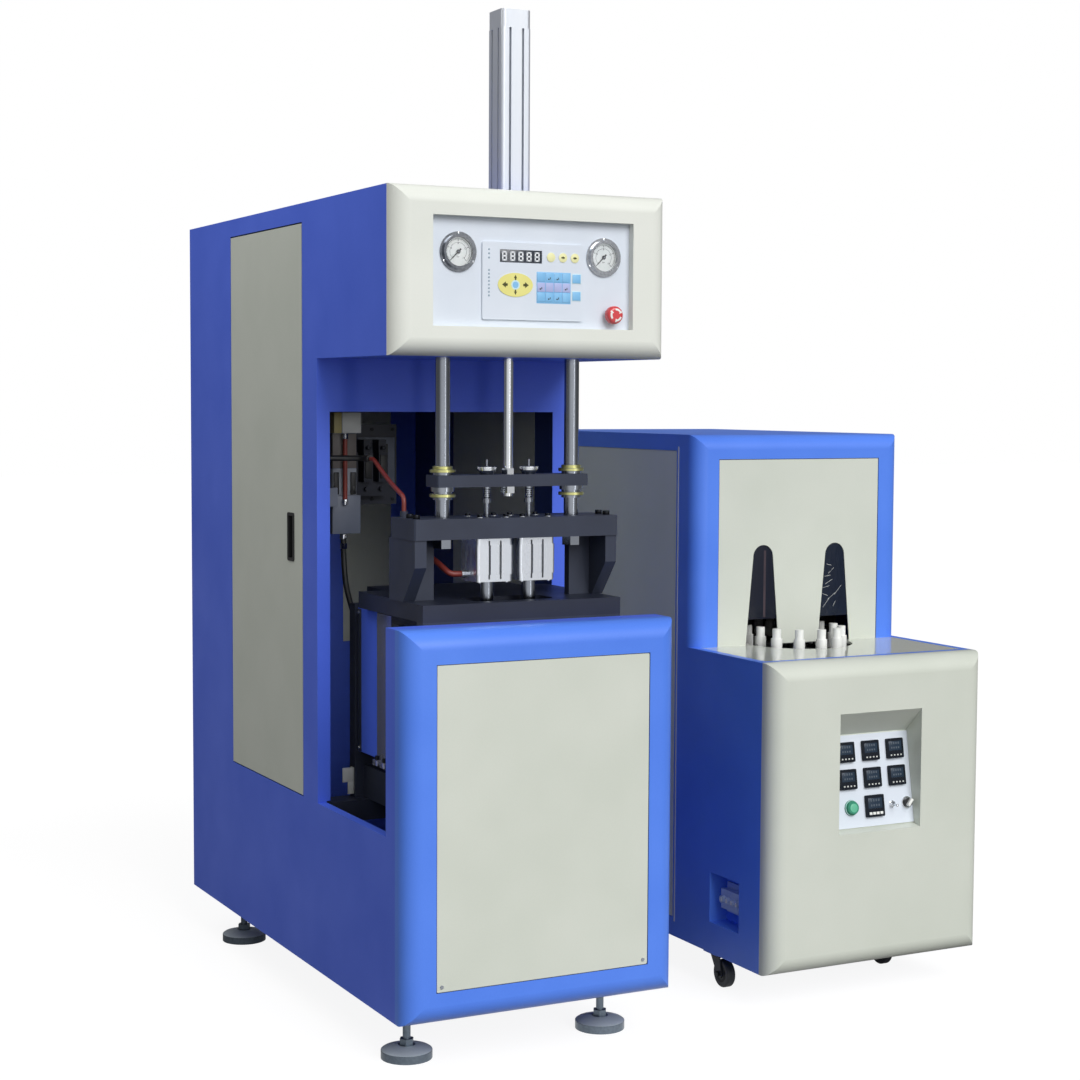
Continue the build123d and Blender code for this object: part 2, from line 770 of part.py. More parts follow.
def stretch_cylinder():
    """Grooved profile tube between two square end caps."""
    half = profile_width / 2
    z0 = beam_top
    outline = RectangleRounded(profile_width, profile_width, 6)
    for angle in range(0, 360, 90):
        for shift in (-14, 14):
            groove = Pos(half - 2, shift) * Rectangle(5, profile_groove * 0.6)
            groove += Pos(half - 6, shift) * Rectangle(5, profile_groove)
            outline -= Rot(0, 0, angle) * groove
    outline -= Circle(profile_bore_radius)
    tube_length = stretch_top - z0 - 2 * stretch_cap
    tube = Pos(middle_x, axis_y, z0 + stretch_cap) * extrude(outline, amount=tube_length)
    square = RectangleRounded(profile_width, profile_width, 8)
    caps = []
    for z in (z0, stretch_top - stretch_cap):
        cap = Pos(middle_x, axis_y, z) * extrude(square, amount=stretch_cap)
        for x in mirror_pair(middle_x, half * 0.72):
            for y in mirror_pair(axis_y, half * 0.72):
                cap += bar(5, x, y, z + stretch_cap - 6, 6)
        caps.append(cap)
    caps[0] -= bar(piston_rod_radius + running_fit, middle_x, axis_y, z0 - 1, stretch_cap + 2)
    for x in mirror_pair(middle_x, half * 0.72):
        for y in mirror_pair(axis_y, half * 0.72):
            caps[1] -= bar(4, x, y, stretch_top - 5, 6)
    return [tube] + caps


def blow_cylinders():
    """Two square compact cylinders hung under the bridge, with grooves and end caps."""
    cylinders = []
    half = blow_width / 2
    for x in mirror_pair(middle_x, nozzle_offset):
        outline = RectangleRounded(blow_width, blow_width, 5)
        for angle in range(0, 360, 90):
            for shift in (-12, 12):
                outline -= Rot(0, 0, angle) * Pos(half - 1.5, shift) * Rectangle(5, 5)
        bottom = bridge_bottom - blow_length
        body = Pos(x, axis_y, bottom + blow_cap) * extrude(outline, amount=blow_length - 2 * blow_cap)
        square = RectangleRounded(blow_width - 2, blow_width - 2, 6)
        for z in (bottom, bridge_bottom - blow_cap):
            body += Pos(x, axis_y, z) * extrude(square, amount=blow_cap)
        body -= bar(blow_bore_radius, x, axis_y, bottom + blow_cap, blow_length - 2 * blow_cap)
        body -= bar(nozzle_radius + running_fit, x, axis_y, bottom - 1, blow_cap + 2)
        body -= bar(nozzle_bore_radius + 2, x, axis_y, bottom + blow_cap, blow_length)
        if x < middle_x:
            body += bar(fitting_radius, x - half - fitting_length, cylinder_port_y, cylinder_port_z,
                        fitting_length + 4, "X")
        cylinders.append(body)
    return cylinders


def blow_nozzle(x):
    """Hollow blow nozzle with its piston; the stretch rod runs through it."""
    bottom = bridge_bottom - blow_length
    piston_bottom = bottom + blow_cap + blow_stroke + 1
    piston_height = 12
    nozzle = bar(nozzle_radius, x, axis_y, nozzle_bottom, piston_bottom - nozzle_bottom)
    nozzle = chamfer(nozzle.edges().group_by(Axis.Z)[0], 3)
    nozzle += bar(blow_bore_radius - running_fit, x, axis_y, piston_bottom, piston_height)
    nozzle -= bar(nozzle_bore_radius, x, axis_y, nozzle_bottom - 1, blow_length + 60)
    return nozzle


def bay_table():
    """Thick plate over the mould clamp, with a slot for the preforms and a rear tongue."""
    table = block(middle_x - table_half, middle_x + table_half, table_front, table_back,
                  table_bottom, table_top)
    table += block(middle_x - table_tongue_half, middle_x + table_tongue_half, table_back - 1,
                   rear_plate_back, table_bottom, table_top)
    slot = block(middle_x - table_slot_half, middle_x + table_slot_half, axis_y - table_slot_depth / 2,
                 axis_y + table_slot_depth / 2, table_bottom - 1, table_top + 1)
    table -= fillet(slot.edges().filter_by(Axis.Z), 20)
    return table + bar(fitting_radius, table_port_x, table_port_y, table_top, fitting_length)


def tie_positions():
    """The four (x, z) places of the tie bars."""
    places = []
    for x in mirror_pair(middle_x, mould_half_width - tie_inset):
        for z in (mould_bottom + tie_rise, mould_top - tie_rise):
            places.append((x, z))
    return places


def clamp_frame():
    """Front platen, rear plate, rails, cross members and four tie bars of the clamp."""
    x0, x1 = mirror_pair(middle_x, table_half)
    front = block(x0, x1, front_platen_front, front_platen_back, rail_bottom, table_bottom)
    rear = block(middle_x - mould_half_width, middle_x + mould_half_width, rear_plate_front,
                 rear_plate_back, rail_bottom, table_bottom)
    rear -= bar(clamp_rod_radius + 1, middle_x, rear_plate_front - 1, clamp_middle_z,
                rear_plate_thickness + 2, "Y")
    solids = []
    for x, z in tie_positions():
        front -= bar(tie_radius, x, front_platen_front - 1, z, front_platen_thickness + 2, "Y")
        rear -= bar(tie_radius, x, rear_plate_front - 1, z, rear_plate_thickness + 2, "Y")
        solids.append(bar(tie_radius, x, front_platen_front, z, rear_plate_back - front_platen_front, "Y"))
    for x in mirror_pair(middle_x, rail_offset):
        solids.append(block(x - rail_width / 2, x + rail_width / 2, front_platen_back, rear_plate_front,
                            rail_bottom, rail_top))
    for y in (front_platen_front, rear_plate_back - cross_width):
        solids.append(block(sheet, station_width - sheet, y, y + cross_width,
                            rail_bottom - cross_height, rail_bottom))
    solids += [front, rear]
    return solids


def bottle_cavity(x, y):
    """Solid of one bottle, standing neck up below the top of the mould."""
    r = bottle_radius
    n = bottle_neck_radius
    base = mould_top - bottle_neck_height - bottle_height
    neck = bottle_neck_height + 1
    side = Polyline((0, 4), (r * 0.5, 4), (r * 0.7, 0), (r, 8), (r, bottle_height - bottle_shoulder))
    shoulder = Spline((r, bottle_height - bottle_shoulder), (n, bottle_height), tangents=((0, 1), (0, 1)))
    top = Polyline((n, bottle_height), (n, bottle_height + neck), (0, bottle_height + neck), (0, 4))
    bottle = revolve(Plane.XZ * make_face(Curve() + [side, shoulder, top]), Axis.Z)
    return Pos(x, y, base) * bottle


def mould_plate(y0, y1, parting_y, bore):
    """Mould block with two half bottle cavities and holes for the tie bars."""
    plate = block(middle_x - mould_half_width, middle_x + mould_half_width, y0, y1, mould_bottom, mould_top)
    plate = chamfer(plate.edges().filter_by(Axis.Y), 2)
    for x in mirror_pair(middle_x, nozzle_offset):
        plate -= bottle_cavity(x, parting_y)
    for x, z in tie_positions():
        plate -= bar(bore, x, y0 - 1, z, y1 - y0 + 2, "Y")
    return plate


def moving_platen():
    """Moving platen on the tie bars, and the clamp rod with its piston."""
    x0, x1 = mirror_pair(middle_x, mould_half_width)
    platen = block(x0, x1, moving_platen_front, moving_platen_back, mould_bottom, mould_top)
    platen = chamfer(platen.edges().filter_by(Axis.Y), 2)
    for x, z in tie_positions():
        platen -= bar(tie_radius + running_fit, x, moving_platen_front - 1, z,
                      moving_platen_thickness + 2, "Y")
    middle_z = clamp_middle_z
    piston_y = rear_plate_back + clamp_cap + clamp_stroke + 2
    rod = bar(clamp_rod_radius, middle_x, moving_platen_back, middle_z, piston_y - moving_platen_back, "Y")
    rod += bar(clamp_bore_radius - running_fit, middle_x, piston_y, middle_z, clamp_cap, "Y")
    return [platen, rod]


def clamp_cylinder():
    """Closed clamp cylinder behind the rear plate."""
    middle_z = clamp_middle_z
    length = clamp_length + clamp_cap
    body = bar(clamp_tube_radius, middle_x, rear_plate_back, middle_z, length, "Y")
    for y in (rear_plate_back, rear_plate_back + length - clamp_cap):
        half = clamp_tube_radius + 5
        cap = block(middle_x - half, middle_x + half, y, y + clamp_cap, middle_z - half, middle_z + half)
        body += chamfer(cap.edges().filter_by(Axis.Y), 12)
    body += bar(fitting_radius, clamp_port_x, clamp_port_y, clamp_port_z, fitting_length + 4, "X")
    bore_length = length - 2 * clamp_cap
    body -= bar(clamp_bore_radius, middle_x, rear_plate_back + clamp_cap, middle_z, bore_length, "Y")
    body -= bar(clamp_rod_radius + running_fit, middle_x, rear_plate_back - 1, middle_z, clamp_cap + 2, "Y")
    return body


def valve_bank():
    """Mounting plate with a manifold and its solenoid valves, hung from the tall front wall."""
    right = valve_left + valve_plate_width
    back = valve_y + sheet
    parts = block(valve_left, right, valve_y, back, valve_bottom, valve_bottom + valve_plate_height)
    left = valve_left + manifold_inset
    hanger_top = tall_opening_top + 2 * flange
    hanger_right = left + flange
    parts += block(left, hanger_right, valve_y, back, valve_bottom, hanger_top)
    parts += block(left, hanger_right, tall_front + sheet, back, hanger_top - sheet, hanger_top)
    manifold_bottom = valve_bottom + flange
    manifold_top = manifold_bottom + manifold_height
    coil_bottom = manifold_top + 3 * valve_width
    front = valve_y - manifold_depth
    parts += block(left, left + manifold_width, front, valve_y, manifold_bottom, manifold_top)
    for i in range(valve_count):
        x = left + valve_width / 2 + valve_pitch * i
        parts += block(x, x + valve_width, valve_y - 2 * valve_width, valve_y, manifold_top, coil_bottom)
        parts += block(x + 2, x + valve_width - 2, front - 10, valve_y, coil_bottom,
                       coil_bottom + manifold_depth)
        parts += bar(5, x + valve_width / 2, front - 10, manifold_bottom + manifold_height / 2, 12, "Y")
    return parts


def filter_units():
    """Air filter and regulator on an arm from the cabinet's left wall."""
    x0 = filter_x
    x1 = filter_x + filter_width
    y0 = filter_y
    y1 = filter_y + filter_depth
    arm_y = door_front - 2 * sheet
    head_z = filter_top - filter_head
    bowl_z = filter_bottom + filter_bowl
    arm_z = filter_bottom + filter_arm_rise
    arm_top = arm_z + filter_arm_height
    units = block(sheet, x0, arm_y, arm_y + sheet, arm_z, arm_top)
    units += block(x0 - sheet, x0, arm_y, y0 + flange, arm_z, arm_top)
    units += block(x0, x1, y0, y1, head_z, filter_top)
    units += block(x0, x1 - 8, y0 + 8, y1 - 8, bowl_z - 2, head_z)
    units += block(x0 - 2, x1, y0 + 4, y1 - 4, filter_bottom, bowl_z)
    units += bar(fitting_radius, x0 + filter_width / 2, filter_foot_y, filter_foot_z, fitting_length)
    return units


def hose(points, radius):
    """Round hose of straight runs joined by large tangent arcs."""
    corners = [Vector(*p) for p in points]
    radii = []
    for before, corner, after in zip(corners, corners[1:], corners[2:]):
        first = corner - before
        second = after - corner
        turn = math.radians(first.get_angle(second))
        radii.append(0.45 * min(first.length, second.length) / math.tan(turn / 2))
    path = FilletPolyline(*points, radius=radii)
    section = Plane(origin=path @ 0, z_dir=path % 0) * Circle(radius)
    print("hose radii", [round(r) for r in radii], "length", round(path.length))
    return sweep(section, path=path)


def hose_way(start, end, route):
    """Route points between two ends, each a share of the way with its side step and rise as shares."""
    first = Vector(*start)
    span = Vector(*end) - first
    points = []
    for share, side, rise in route:
        place = first + span * share + Vector(side, 0, rise) * span.length
        points.append((place.X, place.Y, place.Z))
    return points


def air_hoses():
    """Supply hose to the bridge, loop from the left blow cylinder to the table, and hose to the clamp."""
    joint_front = hose_joint_y - hose_joint_length
    start = (sheet + 3 * fitting_length, wall_port_y, wall_port_z)
    end = (hose_joint_x, hose_joint_y, wall_port_z)
    supply = hose([(sheet + fitting_length, wall_port_y, wall_port_z), start]
                  + hose_way(start, end, supply_hose_route) + [end], hose_radius)
    supply += bar(fitting_radius, hose_joint_x, joint_front, wall_port_z, hose_joint_length, "Y")
    start = (hose_joint_x, joint_front, wall_port_z)
    end = (bridge_port_x, bridge_port_y, bridge_top + hose_start)
    port = (bridge_port_x, bridge_port_y, bridge_top + fitting_length)
    over = hose([start] + hose_way(start, end, over_hose_route) + [end, port], thin_hose_radius)
    port_x = middle_x - nozzle_offset - blow_width / 2 - fitting_length
    start = (port_x - 2 * fitting_length, cylinder_port_y, cylinder_port_z)
    end = (table_port_x, table_port_y, table_top + fitting_length + hose_start)
    port = (table_port_x, table_port_y, table_top + fitting_length)
    short = hose([(port_x, cylinder_port_y, cylinder_port_z), start] + hose_way(start, end, short_hose_route)
                 + [end, port], hose_radius)
    foot_x = filter_x + filter_width / 2
    start = (foot_x, filter_foot_y, filter_foot_z - hose_start)
    end = (clamp_port_x - hose_start, clamp_port_y, clamp_port_z)
    clamp = hose([(foot_x, filter_foot_y, filter_foot_z), start] + hose_way(start, end, clamp_hose_route)
                 + [end, (clamp_port_x, clamp_port_y, clamp_port_z)], hose_radius)
    return [supply + over, short, clamp]


def levelling_feet():
    """Four levelling feet: chromed pad, threaded stud and two nuts."""
    feet = []
    for x in mirror_pair(middle_x, middle_x - foot_side_inset):
        for y in (foot_front, foot_back):
            ring = Polyline((0, 0), (pad_radius, 0), (pad_radius, pad_height * 0.62))
            crown = Polyline((pad_radius, pad_height * 0.62), (pad_radius - 4, pad_height * 0.72),
                             (22, pad_height), (stud_radius, pad_height), (0, pad_height), (0, 0))
            foot = Pos(x, y, 0) * revolve(Plane.XZ * make_face(Curve() + [ring, crown]), Axis.Z)
            foot += bar(stud_radius, x, y, pad_height - 2, cabinet_bottom + 30 - pad_height)
            foot += hexagon(foot_nut_radius, x, y, pad_height, foot_nut_height)
            foot += hexagon(foot_nut_radius, x, y, cabinet_bottom - foot_nut_height, foot_nut_height)
            feet.append(foot)
    return feet


def socket_box(grow):
    """Box of the power socket's recess in the heater's left side."""
    return block(heater_left - grow, heater_left + socket_depth + grow, socket_front - grow,
                 socket_back + grow, socket_bottom - grow, socket_top + grow)


def castor_places():
    """Kingpin positions of the four castors, by name."""
    places = {}
    for side, x in (("left", heater_left + castor_left_inset), ("right", heater_right - castor_right_inset)):
        for end, y in (("front", castor_front), ("back", heater_back - castor_back_inset)):
            places[end + "_" + side] = (x, y)
    return places


def heater_shell():
    """Folded sheet body of the heater: a low front box and a tower."""
    t = sheet
    outer = profile_along_x(
        [(heater_seam, heater_bottom), (heater_back, heater_bottom), (heater_back, tower_top),
         (tower_seam, tower_top), (tower_seam, deck_height), (heater_seam, deck_height)],
        heater_left, heater_right)
    inner = profile_along_x(
        [(heater_seam + t, heater_bottom + t), (heater_back - t, heater_bottom + t),
         (heater_back - t, tower_top - t), (tower_seam + t, tower_top - t),
         (tower_seam + t, deck_height - t), (heater_seam + t, deck_height - t)],
        heater_left + t, heater_right - t)
    shell = outer - inner
    x0 = heater_left + deck_rim
    x1 = heater_right - deck_rim
    shell -= block(x0, x1, heater_seam - t, heater_seam + 2 * t, heater_bottom + flange,
                   deck_height - flange)
    shell -= block(x0, x1, heater_seam + flange, tower_seam, deck_height - 2 * t, deck_height + t)
    shell -= block(x0, x1, tower_seam - t, tower_seam + 2 * t, deck_height - 2 * t, tower_top - flange)
    shell -= block(heater_left - t, heater_left + 2 * t, side_panel_front, side_panel_back,
                   side_panel_bottom, side_panel_top)
    shell += socket_box(t) & block(heater_left, heater_right, 0, heater_back, 0, tower_top)
    shell -= socket_box(0)
    plate_half = castor_plate_size / 2
    for x, y in castor_places().values():
        shell += block(x - plate_half, x + plate_half, y - plate_half, y + plate_half,
                       heater_bottom - castor_plate, heater_bottom)
        shell += bar(kingpin_radius, x, y, heater_bottom - 14, 14)
    return shell


def heater_deck():
    """Deck plate with the round-ended opening of the preform track."""
    half = track_half + track_margin
    deck = block(heater_left + deck_rim, heater_right - deck_rim, heater_seam + flange, tower_seam,
                 deck_height - sheet, deck_height)
    deck += block(heater_left + deck_rim - flange / 2, heater_right - deck_rim + flange / 2,
                  heater_seam + flange / 2, tower_seam - sheet, deck_height - 2 * sheet, deck_height - sheet)
    deck -= bar(half, heater_middle, track_front_centre, deck_height - 3 * sheet, 4 * sheet)
    deck -= block(heater_middle - half, heater_middle + half, track_front_centre, tower_seam + 1,
                  deck_height - 3 * sheet, deck_height + sheet)
    return deck


def tower_frame():
    """Blue rounded frame of the tower, open at the deck, with a seat for its panel."""
    x0, x1 = mirror_pair(heater_middle, tower_panel_half)
    z1 = tower_panel_top
    g = panel_gap
    frame = nose_tray(heater_left, heater_right, tower_front, tower_seam, deck_height - tower_nose - skin,
                      tower_top, tower_nose, skin)
    frame += block(x0 - seat_lip, x1 + seat_lip, tower_front + sheet, tower_front + 2 * skin,
                   deck_height, z1 + seat_lip)
    frame -= block(x0 - g, x1 + g, tower_front - 1, tower_front + sheet, 0, z1 + g)
    frame -= block(x0 + seat_lip, x1 - seat_lip, tower_front - 1, tower_seam, 0, z1 - seat_lip)
    frame -= block(heater_left - 1, heater_right + 1, 0, heater_back, 0, deck_height)
    return frame


def tower_panel():
    """Cream panel with two tall tapered slots for the preforms."""
    x0, x1 = mirror_pair(heater_middle, tower_panel_half)
    panel = block(x0, x1, tower_front + panel_set_back, tower_front + sheet, deck_height, tower_panel_top)
    arch = slot_top - slot_top_radius
    for x in mirror_pair(heater_middle, track_half):
        taper = Polyline((x - slot_bottom_half, deck_height - 1), (x + slot_bottom_half, deck_height - 1),
                         (x + slot_top_radius, arch), (x - slot_top_radius, arch), close=True)
        face = make_face(taper) + Pos(x, arch) * Circle(slot_top_radius)
        cutter = Pos(0, tower_front + 2 * sheet, 0) * (Rot(90, 0, 0) * extrude(face, amount=3 * sheet))
        panel -= cutter
    return panel


def pocket_corners():
    """Foot and head (y, z) of the leaning back of the control recess."""
    foot = (heater_front + pocket_foot_depth, pocket_bottom + pocket_foot_rise)
    head = (heater_front + pocket_head_depth, pocket_top - pocket_head_drop)
    return foot, head


def pocket(grow):
    """Wedge of the control recess: shallow at its foot, deep at its head, with a sloped ceiling."""
    (foot_y, foot_z), (head_y, head_z) = pocket_corners()
    outline = [(heater_front - 1, pocket_bottom - grow), (foot_y + grow, foot_z - grow),
               (head_y + grow, head_z + grow / 2), (heater_front - 1, pocket_top + grow)]
    return profile_along_x(outline, pocket_left - grow, pocket_left + pocket_width + grow)


def heater_front_cover():
    """One-piece cream front with rounded edges and a wedge-shaped control recess."""
    cover = nose_tray(heater_left, heater_right, heater_front, heater_seam, heater_bottom, deck_height,
                      heater_nose, skin)
    cover += pocket(pocket_wall) & block(heater_left, heater_right, heater_front + skin / 2,
                                         heater_back, heater_bottom, deck_height)
    cover -= pocket(0)
    return cover


def control_frame():
    """Plane on the recess's leaning back: X across, Y up the plate, Z out to the operator."""
    (foot_y, foot_z), (head_y, head_z) = pocket_corners()
    lean = math.atan2(head_y - foot_y, head_z - foot_z)
    origin = (pocket_left + pocket_width / 2, foot_y, foot_z)
    return Plane(origin=origin, x_dir=(1, 0, 0), z_dir=(0, -math.cos(lean), math.sin(lean)))


def control_plate():
    """White leaning plate that carries the heater's controls."""
    (foot_y, foot_z), (head_y, head_z) = pocket_corners()
    height = math.hypot(head_y - foot_y, head_z - foot_z) - 2 * control_gap - control_thickness
    plate = Box(pocket_width - 2 * control_gap, height, control_thickness,
                align=(Align.CENTER, Align.MIN, Align.MIN))
    return control_frame() * Pos(0, control_gap + control_thickness / 2, 0) * plate


def on_plate(x, up, out):
    """A place on the front of the control plate."""
    return control_frame() * Pos(x, up, control_thickness + out)


def temperature_controllers():
    """Six small controllers in two rows and a larger one below them."""
    units = []
    for row in range(2):
        for column in (-1, 0, 1):
            units.append((controller_shift + column * controller_pitch,
                          controller_top_row - row * controller_row, controller_size))
    units.append((controller_shift, control_low_row, master_size))
    solids = []
    for x, up, size in units:
        unit = extrude(RectangleRounded(size, size, 3), amount=controller_proud)
        unit -= Pos(0, size * 0.12, controller_proud) * Box(size * 0.8, size * 0.5, 2)
        for i in range(4):
            key_x = size * (0.2 * i - 0.3)
            unit += Pos(key_x, -size * 0.34, controller_proud) * Box(size * 0.12, size * 0.1, 2)
        solids.append(on_plate(x, up, 0) * unit)
    return solids


def control_rings():
    """Rings of the start button, the toggle and the selector."""
    rings = []
    for x, radius, bore in ((button_x, button_radius + 3, button_radius + 0.3), (toggle_x, 6, 4.5)):
        ring = extrude(Circle(radius) - Circle(bore), amount=4)
        rings.append(on_plate(x, control_low_row, 0) * ring)
    return rings


def start_button():
    """Green push button with a bevelled rim."""
    head = Cylinder(button_radius, button_height, align=(Align.CENTER, Align.CENTER, Align.MIN))
    head = chamfer(head.edges().group_by(Axis.Z)[-1], 1.5)
    return on_plate(button_x, control_low_row, button_travel + 0.3) * head


def selector_knob():
    """Round selector with a pointer bar."""
    knob = Cylinder(knob_radius, 8, align=(Align.CENTER, Align.CENTER, Align.MIN))
    knob += Pos(0, 0, 8) * Box(6, 2 * knob_radius - 2, 8, align=(Align.CENTER, Align.CENTER, Align.MIN))
    return on_plate(knob_x, control_low_row, 0.3) * Rot(0, 0, -40) * knob


def toggle_switch():
    """Small lever of the toggle switch, on the pin it tilts about."""
    lever = Cylinder(2.2, 16, align=(Align.CENTER, Align.CENTER, Align.MIN))
    lever += Sphere(toggle_ball)
    lever += Rot(0, 90, 0) * Cylinder(toggle_pin_radius, toggle_pin_length)
    lever += Pos(0, 0, 16) * Sphere(toggle_ball)
    return on_plate(toggle_x, control_low_row, toggle_ball + 0.3) * Rot(toggle_lean, 0, 0) * lever


def track_place(distance):
    """Point of the chain's pitch line at a distance along the oval."""
    r = track_half
    straight = track_back_centre - track_front_centre
    left, right = mirror_pair(heater_middle, r)
    s = distance % (2 * straight + 2 * math.pi * r)
    if s < straight:
        return left, track_back_centre - s
    s -= straight
    if s < math.pi * r:
        angle = math.pi + s / r
        return heater_middle + r * math.cos(angle), track_front_centre + r * math.sin(angle)
    s -= math.pi * r
    if s < straight:
        return right, track_front_centre + s
    angle = (s - straight) / r
    return heater_middle + r * math.cos(angle), track_back_centre + r * math.sin(angle)


def track_length():
    """Length of the chain's pitch line."""
    return 2 * (track_back_centre - track_front_centre) + 2 * math.pi * track_half


def carrier_chain():
    """Oven floor with the round front well of the track, and the links of the carrier chain."""
    z = deck_height - chain_drop
    well = track_half + track_margin
    rim = well + sheet
    floor = block(heater_left + 2 * sheet - 1, heater_right - sheet, tower_seam, heater_back - sheet,
                  z - sheet, z)
    under_deck = block(heater_middle - rim, heater_middle + rim, track_front_centre, tower_seam + 1,
                       z - sheet, deck_height - 2 * sheet)
    basin = bar(rim, heater_middle, track_front_centre, z - sheet, chain_drop - sheet) + under_deck
    hollow = bar(well, heater_middle, track_front_centre, z, chain_drop)
    hollow += block(heater_middle - well, heater_middle + well, track_front_centre, tower_seam + 2,
                    z, deck_height)
    basin -= hollow
    basin &= block(heater_left, heater_right, heater_front, tower_seam, 0, tower_top)
    solids = [floor + basin]
    pitch = track_length() / holder_count
    for i in range(holder_count):
        x0, y0 = track_place(i * pitch)
        x1, y1 = track_place((i + 1) * pitch)
        length = math.hypot(x1 - x0, y1 - y0)
        turn = math.degrees(math.atan2(y1 - y0, x1 - x0))
        link = extrude(SlotCenterToCenter(length, link_width), amount=link_thickness)
        level = z + (i % 2) * link_thickness
        solids.append(Pos((x0 + x1) / 2, (y0 + y1) / 2, level) * Rot(0, 0, turn) * link)
    return solids


def preform_holders():
    """White preform holders, one on each chain pin."""
    solids = []
    z = deck_height - chain_drop + 2 * link_thickness
    pitch = track_length() / holder_count
    for i in range(holder_count):
        x, y = track_place(i * pitch)
        shoulder = deck_height + holder_height * 0.45
        holder = bar(holder_collar_radius, x, y, z, shoulder - z)
        holder += bar(holder_radius, x, y, shoulder, holder_height * 0.55)
        solids.append(holder)
    return solids


def lamp_racks():
    """Two racks of infrared tubes in front of bright reflectors, standing on the oven floor."""
    solids = []
    z0 = deck_height - chain_drop
    z1 = deck_height + lamp_pitch * (lamp_count + 0.5)
    y0 = tower_seam + lamp_inset
    y1 = y0 + lamp_length
    for side in (-1, 1):
        x = heater_middle + side * lamp_offset
        near = x - side * 2 * lamp_radius
        back = x + side * 3 * lamp_radius
        skin_back = back + side * reflector_sheet
        rack = block(min(back, skin_back), max(back, skin_back), y0, y1, z0, z1)
        for y in (y0, y1 - reflector_sheet):
            rack += block(min(near, back), max(near, back), y, y + reflector_sheet, z0, z1)
        solids.append(rack)
        for i in range(lamp_count):
            tube_z = deck_height + lamp_pitch * (i + 0.6)
            tube_length = lamp_length - 2 * reflector_sheet
            solids.append(bar(lamp_radius, x, y0 + reflector_sheet, tube_z, tube_length, "Y"))
    return solids


def heater_side_panel():
    """Cream side panel that fills the opening in the heater's left wall."""
    g = panel_gap
    panel = block(heater_left, heater_left + sheet, side_panel_front + g, side_panel_back - g,
                  side_panel_bottom + g, side_panel_top - g)
    panel += block(heater_left + sheet, heater_left + 2 * sheet - 1, side_panel_front - 10,
                   side_panel_back + 10, side_panel_bottom - 10, side_panel_top + 10)
    return panel


def power_socket():
    """Grey four-pole socket on its backing plate in the side recess."""
    x1 = heater_left + socket_depth
    mid_y = (socket_front + socket_back) / 2
    mid_z = (socket_bottom + socket_top) / 2
    socket = block(x1 - 6, x1, mid_y - 48, mid_y + 48, mid_z - 34, mid_z + 34)
    socket += block(x1 - 26, x1 - 6, mid_y - 42, mid_y + 42, mid_z - 22, mid_z + 22)
    for i in range(4):
        y = mid_y - 30 + 20 * i
        socket += bar(8, x1 - 34, y, mid_z, 10, "X")
        socket -= bar(5, x1 - 36, y, mid_z, 20, "X")
    return socket


def castor_fork(x, y):
    """Swivel head with two fork legs and the wheel's axle."""
    head_top = heater_bottom - castor_plate - 0.3
    fork = bar(kingpin_radius + 12, x, y, head_top - 8, 8)
    inner = wheel_width / 2 + 1
    axle_y = y - castor_trail
    axle_z = wheel_radius
    for side in (-1, 1):
        x0 = x + side * inner
        x1 = x + side * (inner + fork_wall)
        leg = profile_along_x([(y + 16, head_top - 8), (y + 16, head_top - 4), (y - 18, head_top - 4),
                               (axle_y - 10, axle_z - 4), (axle_y - 4, axle_z - 10),
                               (axle_y + 6, axle_z - 8)], min(x0, x1), max(x0, x1))
        fork += leg
    fork += block(x - inner - fork_wall, x + inner + fork_wall, y - 18, y + 16, head_top - 8, head_top - 4)
    fork += bar(axle_radius, x - inner - fork_wall - 2, axle_y, axle_z, 2 * (inner + fork_wall + 2), "X")
    fork -= bar(kingpin_radius + running_fit, x, y, head_top - 20, 30)
    return fork


def castor_wheel(x, y):
    """Wheel with a rounded tread and a hub."""
    axle_y = y - castor_trail
    wheel = bar(wheel_radius, x - wheel_width / 2, axle_y, wheel_radius, wheel_width, "X")
    wheel = fillet(wheel.edges().filter_by(GeomType.CIRCLE), 5)
    wheel -= bar(axle_radius + running_fit, x - wheel_width, axle_y, wheel_radius, 2 * wheel_width, "X")
    return wheel


def write(name, solids):
    """Write one sub-part at its place about the machine's footprint centre."""
    if not isinstance(solids, list):
        solids = [solids]
    shift = Pos((handle_proud - total_width) / 2, (screw_proud - station_back) / 2, 0)
    pieces = []
    for shape in solids:
        pieces += [shift * solid for solid in shape.solids()]
    part = pieces[0] if len(pieces) == 1 else Compound(children=pieces)
    part.label = name
    export_step(part, "parts/" + name + ".step")


os.makedirs("parts", exist_ok=True)
gauge_left, gauge_right = mirror_pair(middle_x, gauge_offset)
nozzle_left, nozzle_right = mirror_pair(middle_x, nozzle_offset)

write("cabinet_shell", cabinet_shell())
write("cabinet_door", cabinet_door())
write("cabinet_side_panel", cabinet_side_panel())
write("door_handle", door_handle())
write("head_frame", head_frame())
write("head_panel", [head_panel(), stop_collar()])
write("head_beam", head_beam())
write("gauge_cases", [gauge_case(gauge_left), gauge_case(gauge_right)])
write("gauge_needle_left", gauge_needle(gauge_left))
write("gauge_needle_right", gauge_needle(gauge_right))
write("gauge_lenses", [gauge_lens(gauge_left), gauge_lens(gauge_right)])
write("keypad_unit", keypad_unit())
write("stop_button", stop_button())
write("cover_frame", cover_frame())
write("cover_panel", cover_panel())
write("panel_screws", panel_screws())
write("bay_table", bay_table())
write("bridge_legs", bridge_legs())
write("bridge_plate", bridge_plate())
write("guide_columns", guide_columns())
write("carriage_plate", carriage_plate())
write("carriage_bushes", carriage_bushes())
write("stretch_rods", stretch_rods())
write("piston_rod", piston_rod())
write("stretch_cylinder", stretch_cylinder())
write("blow_cylinders", blow_cylinders())
write("blow_nozzle_left", blow_nozzle(nozzle_left))
write("blow_nozzle_right", blow_nozzle(nozzle_right))
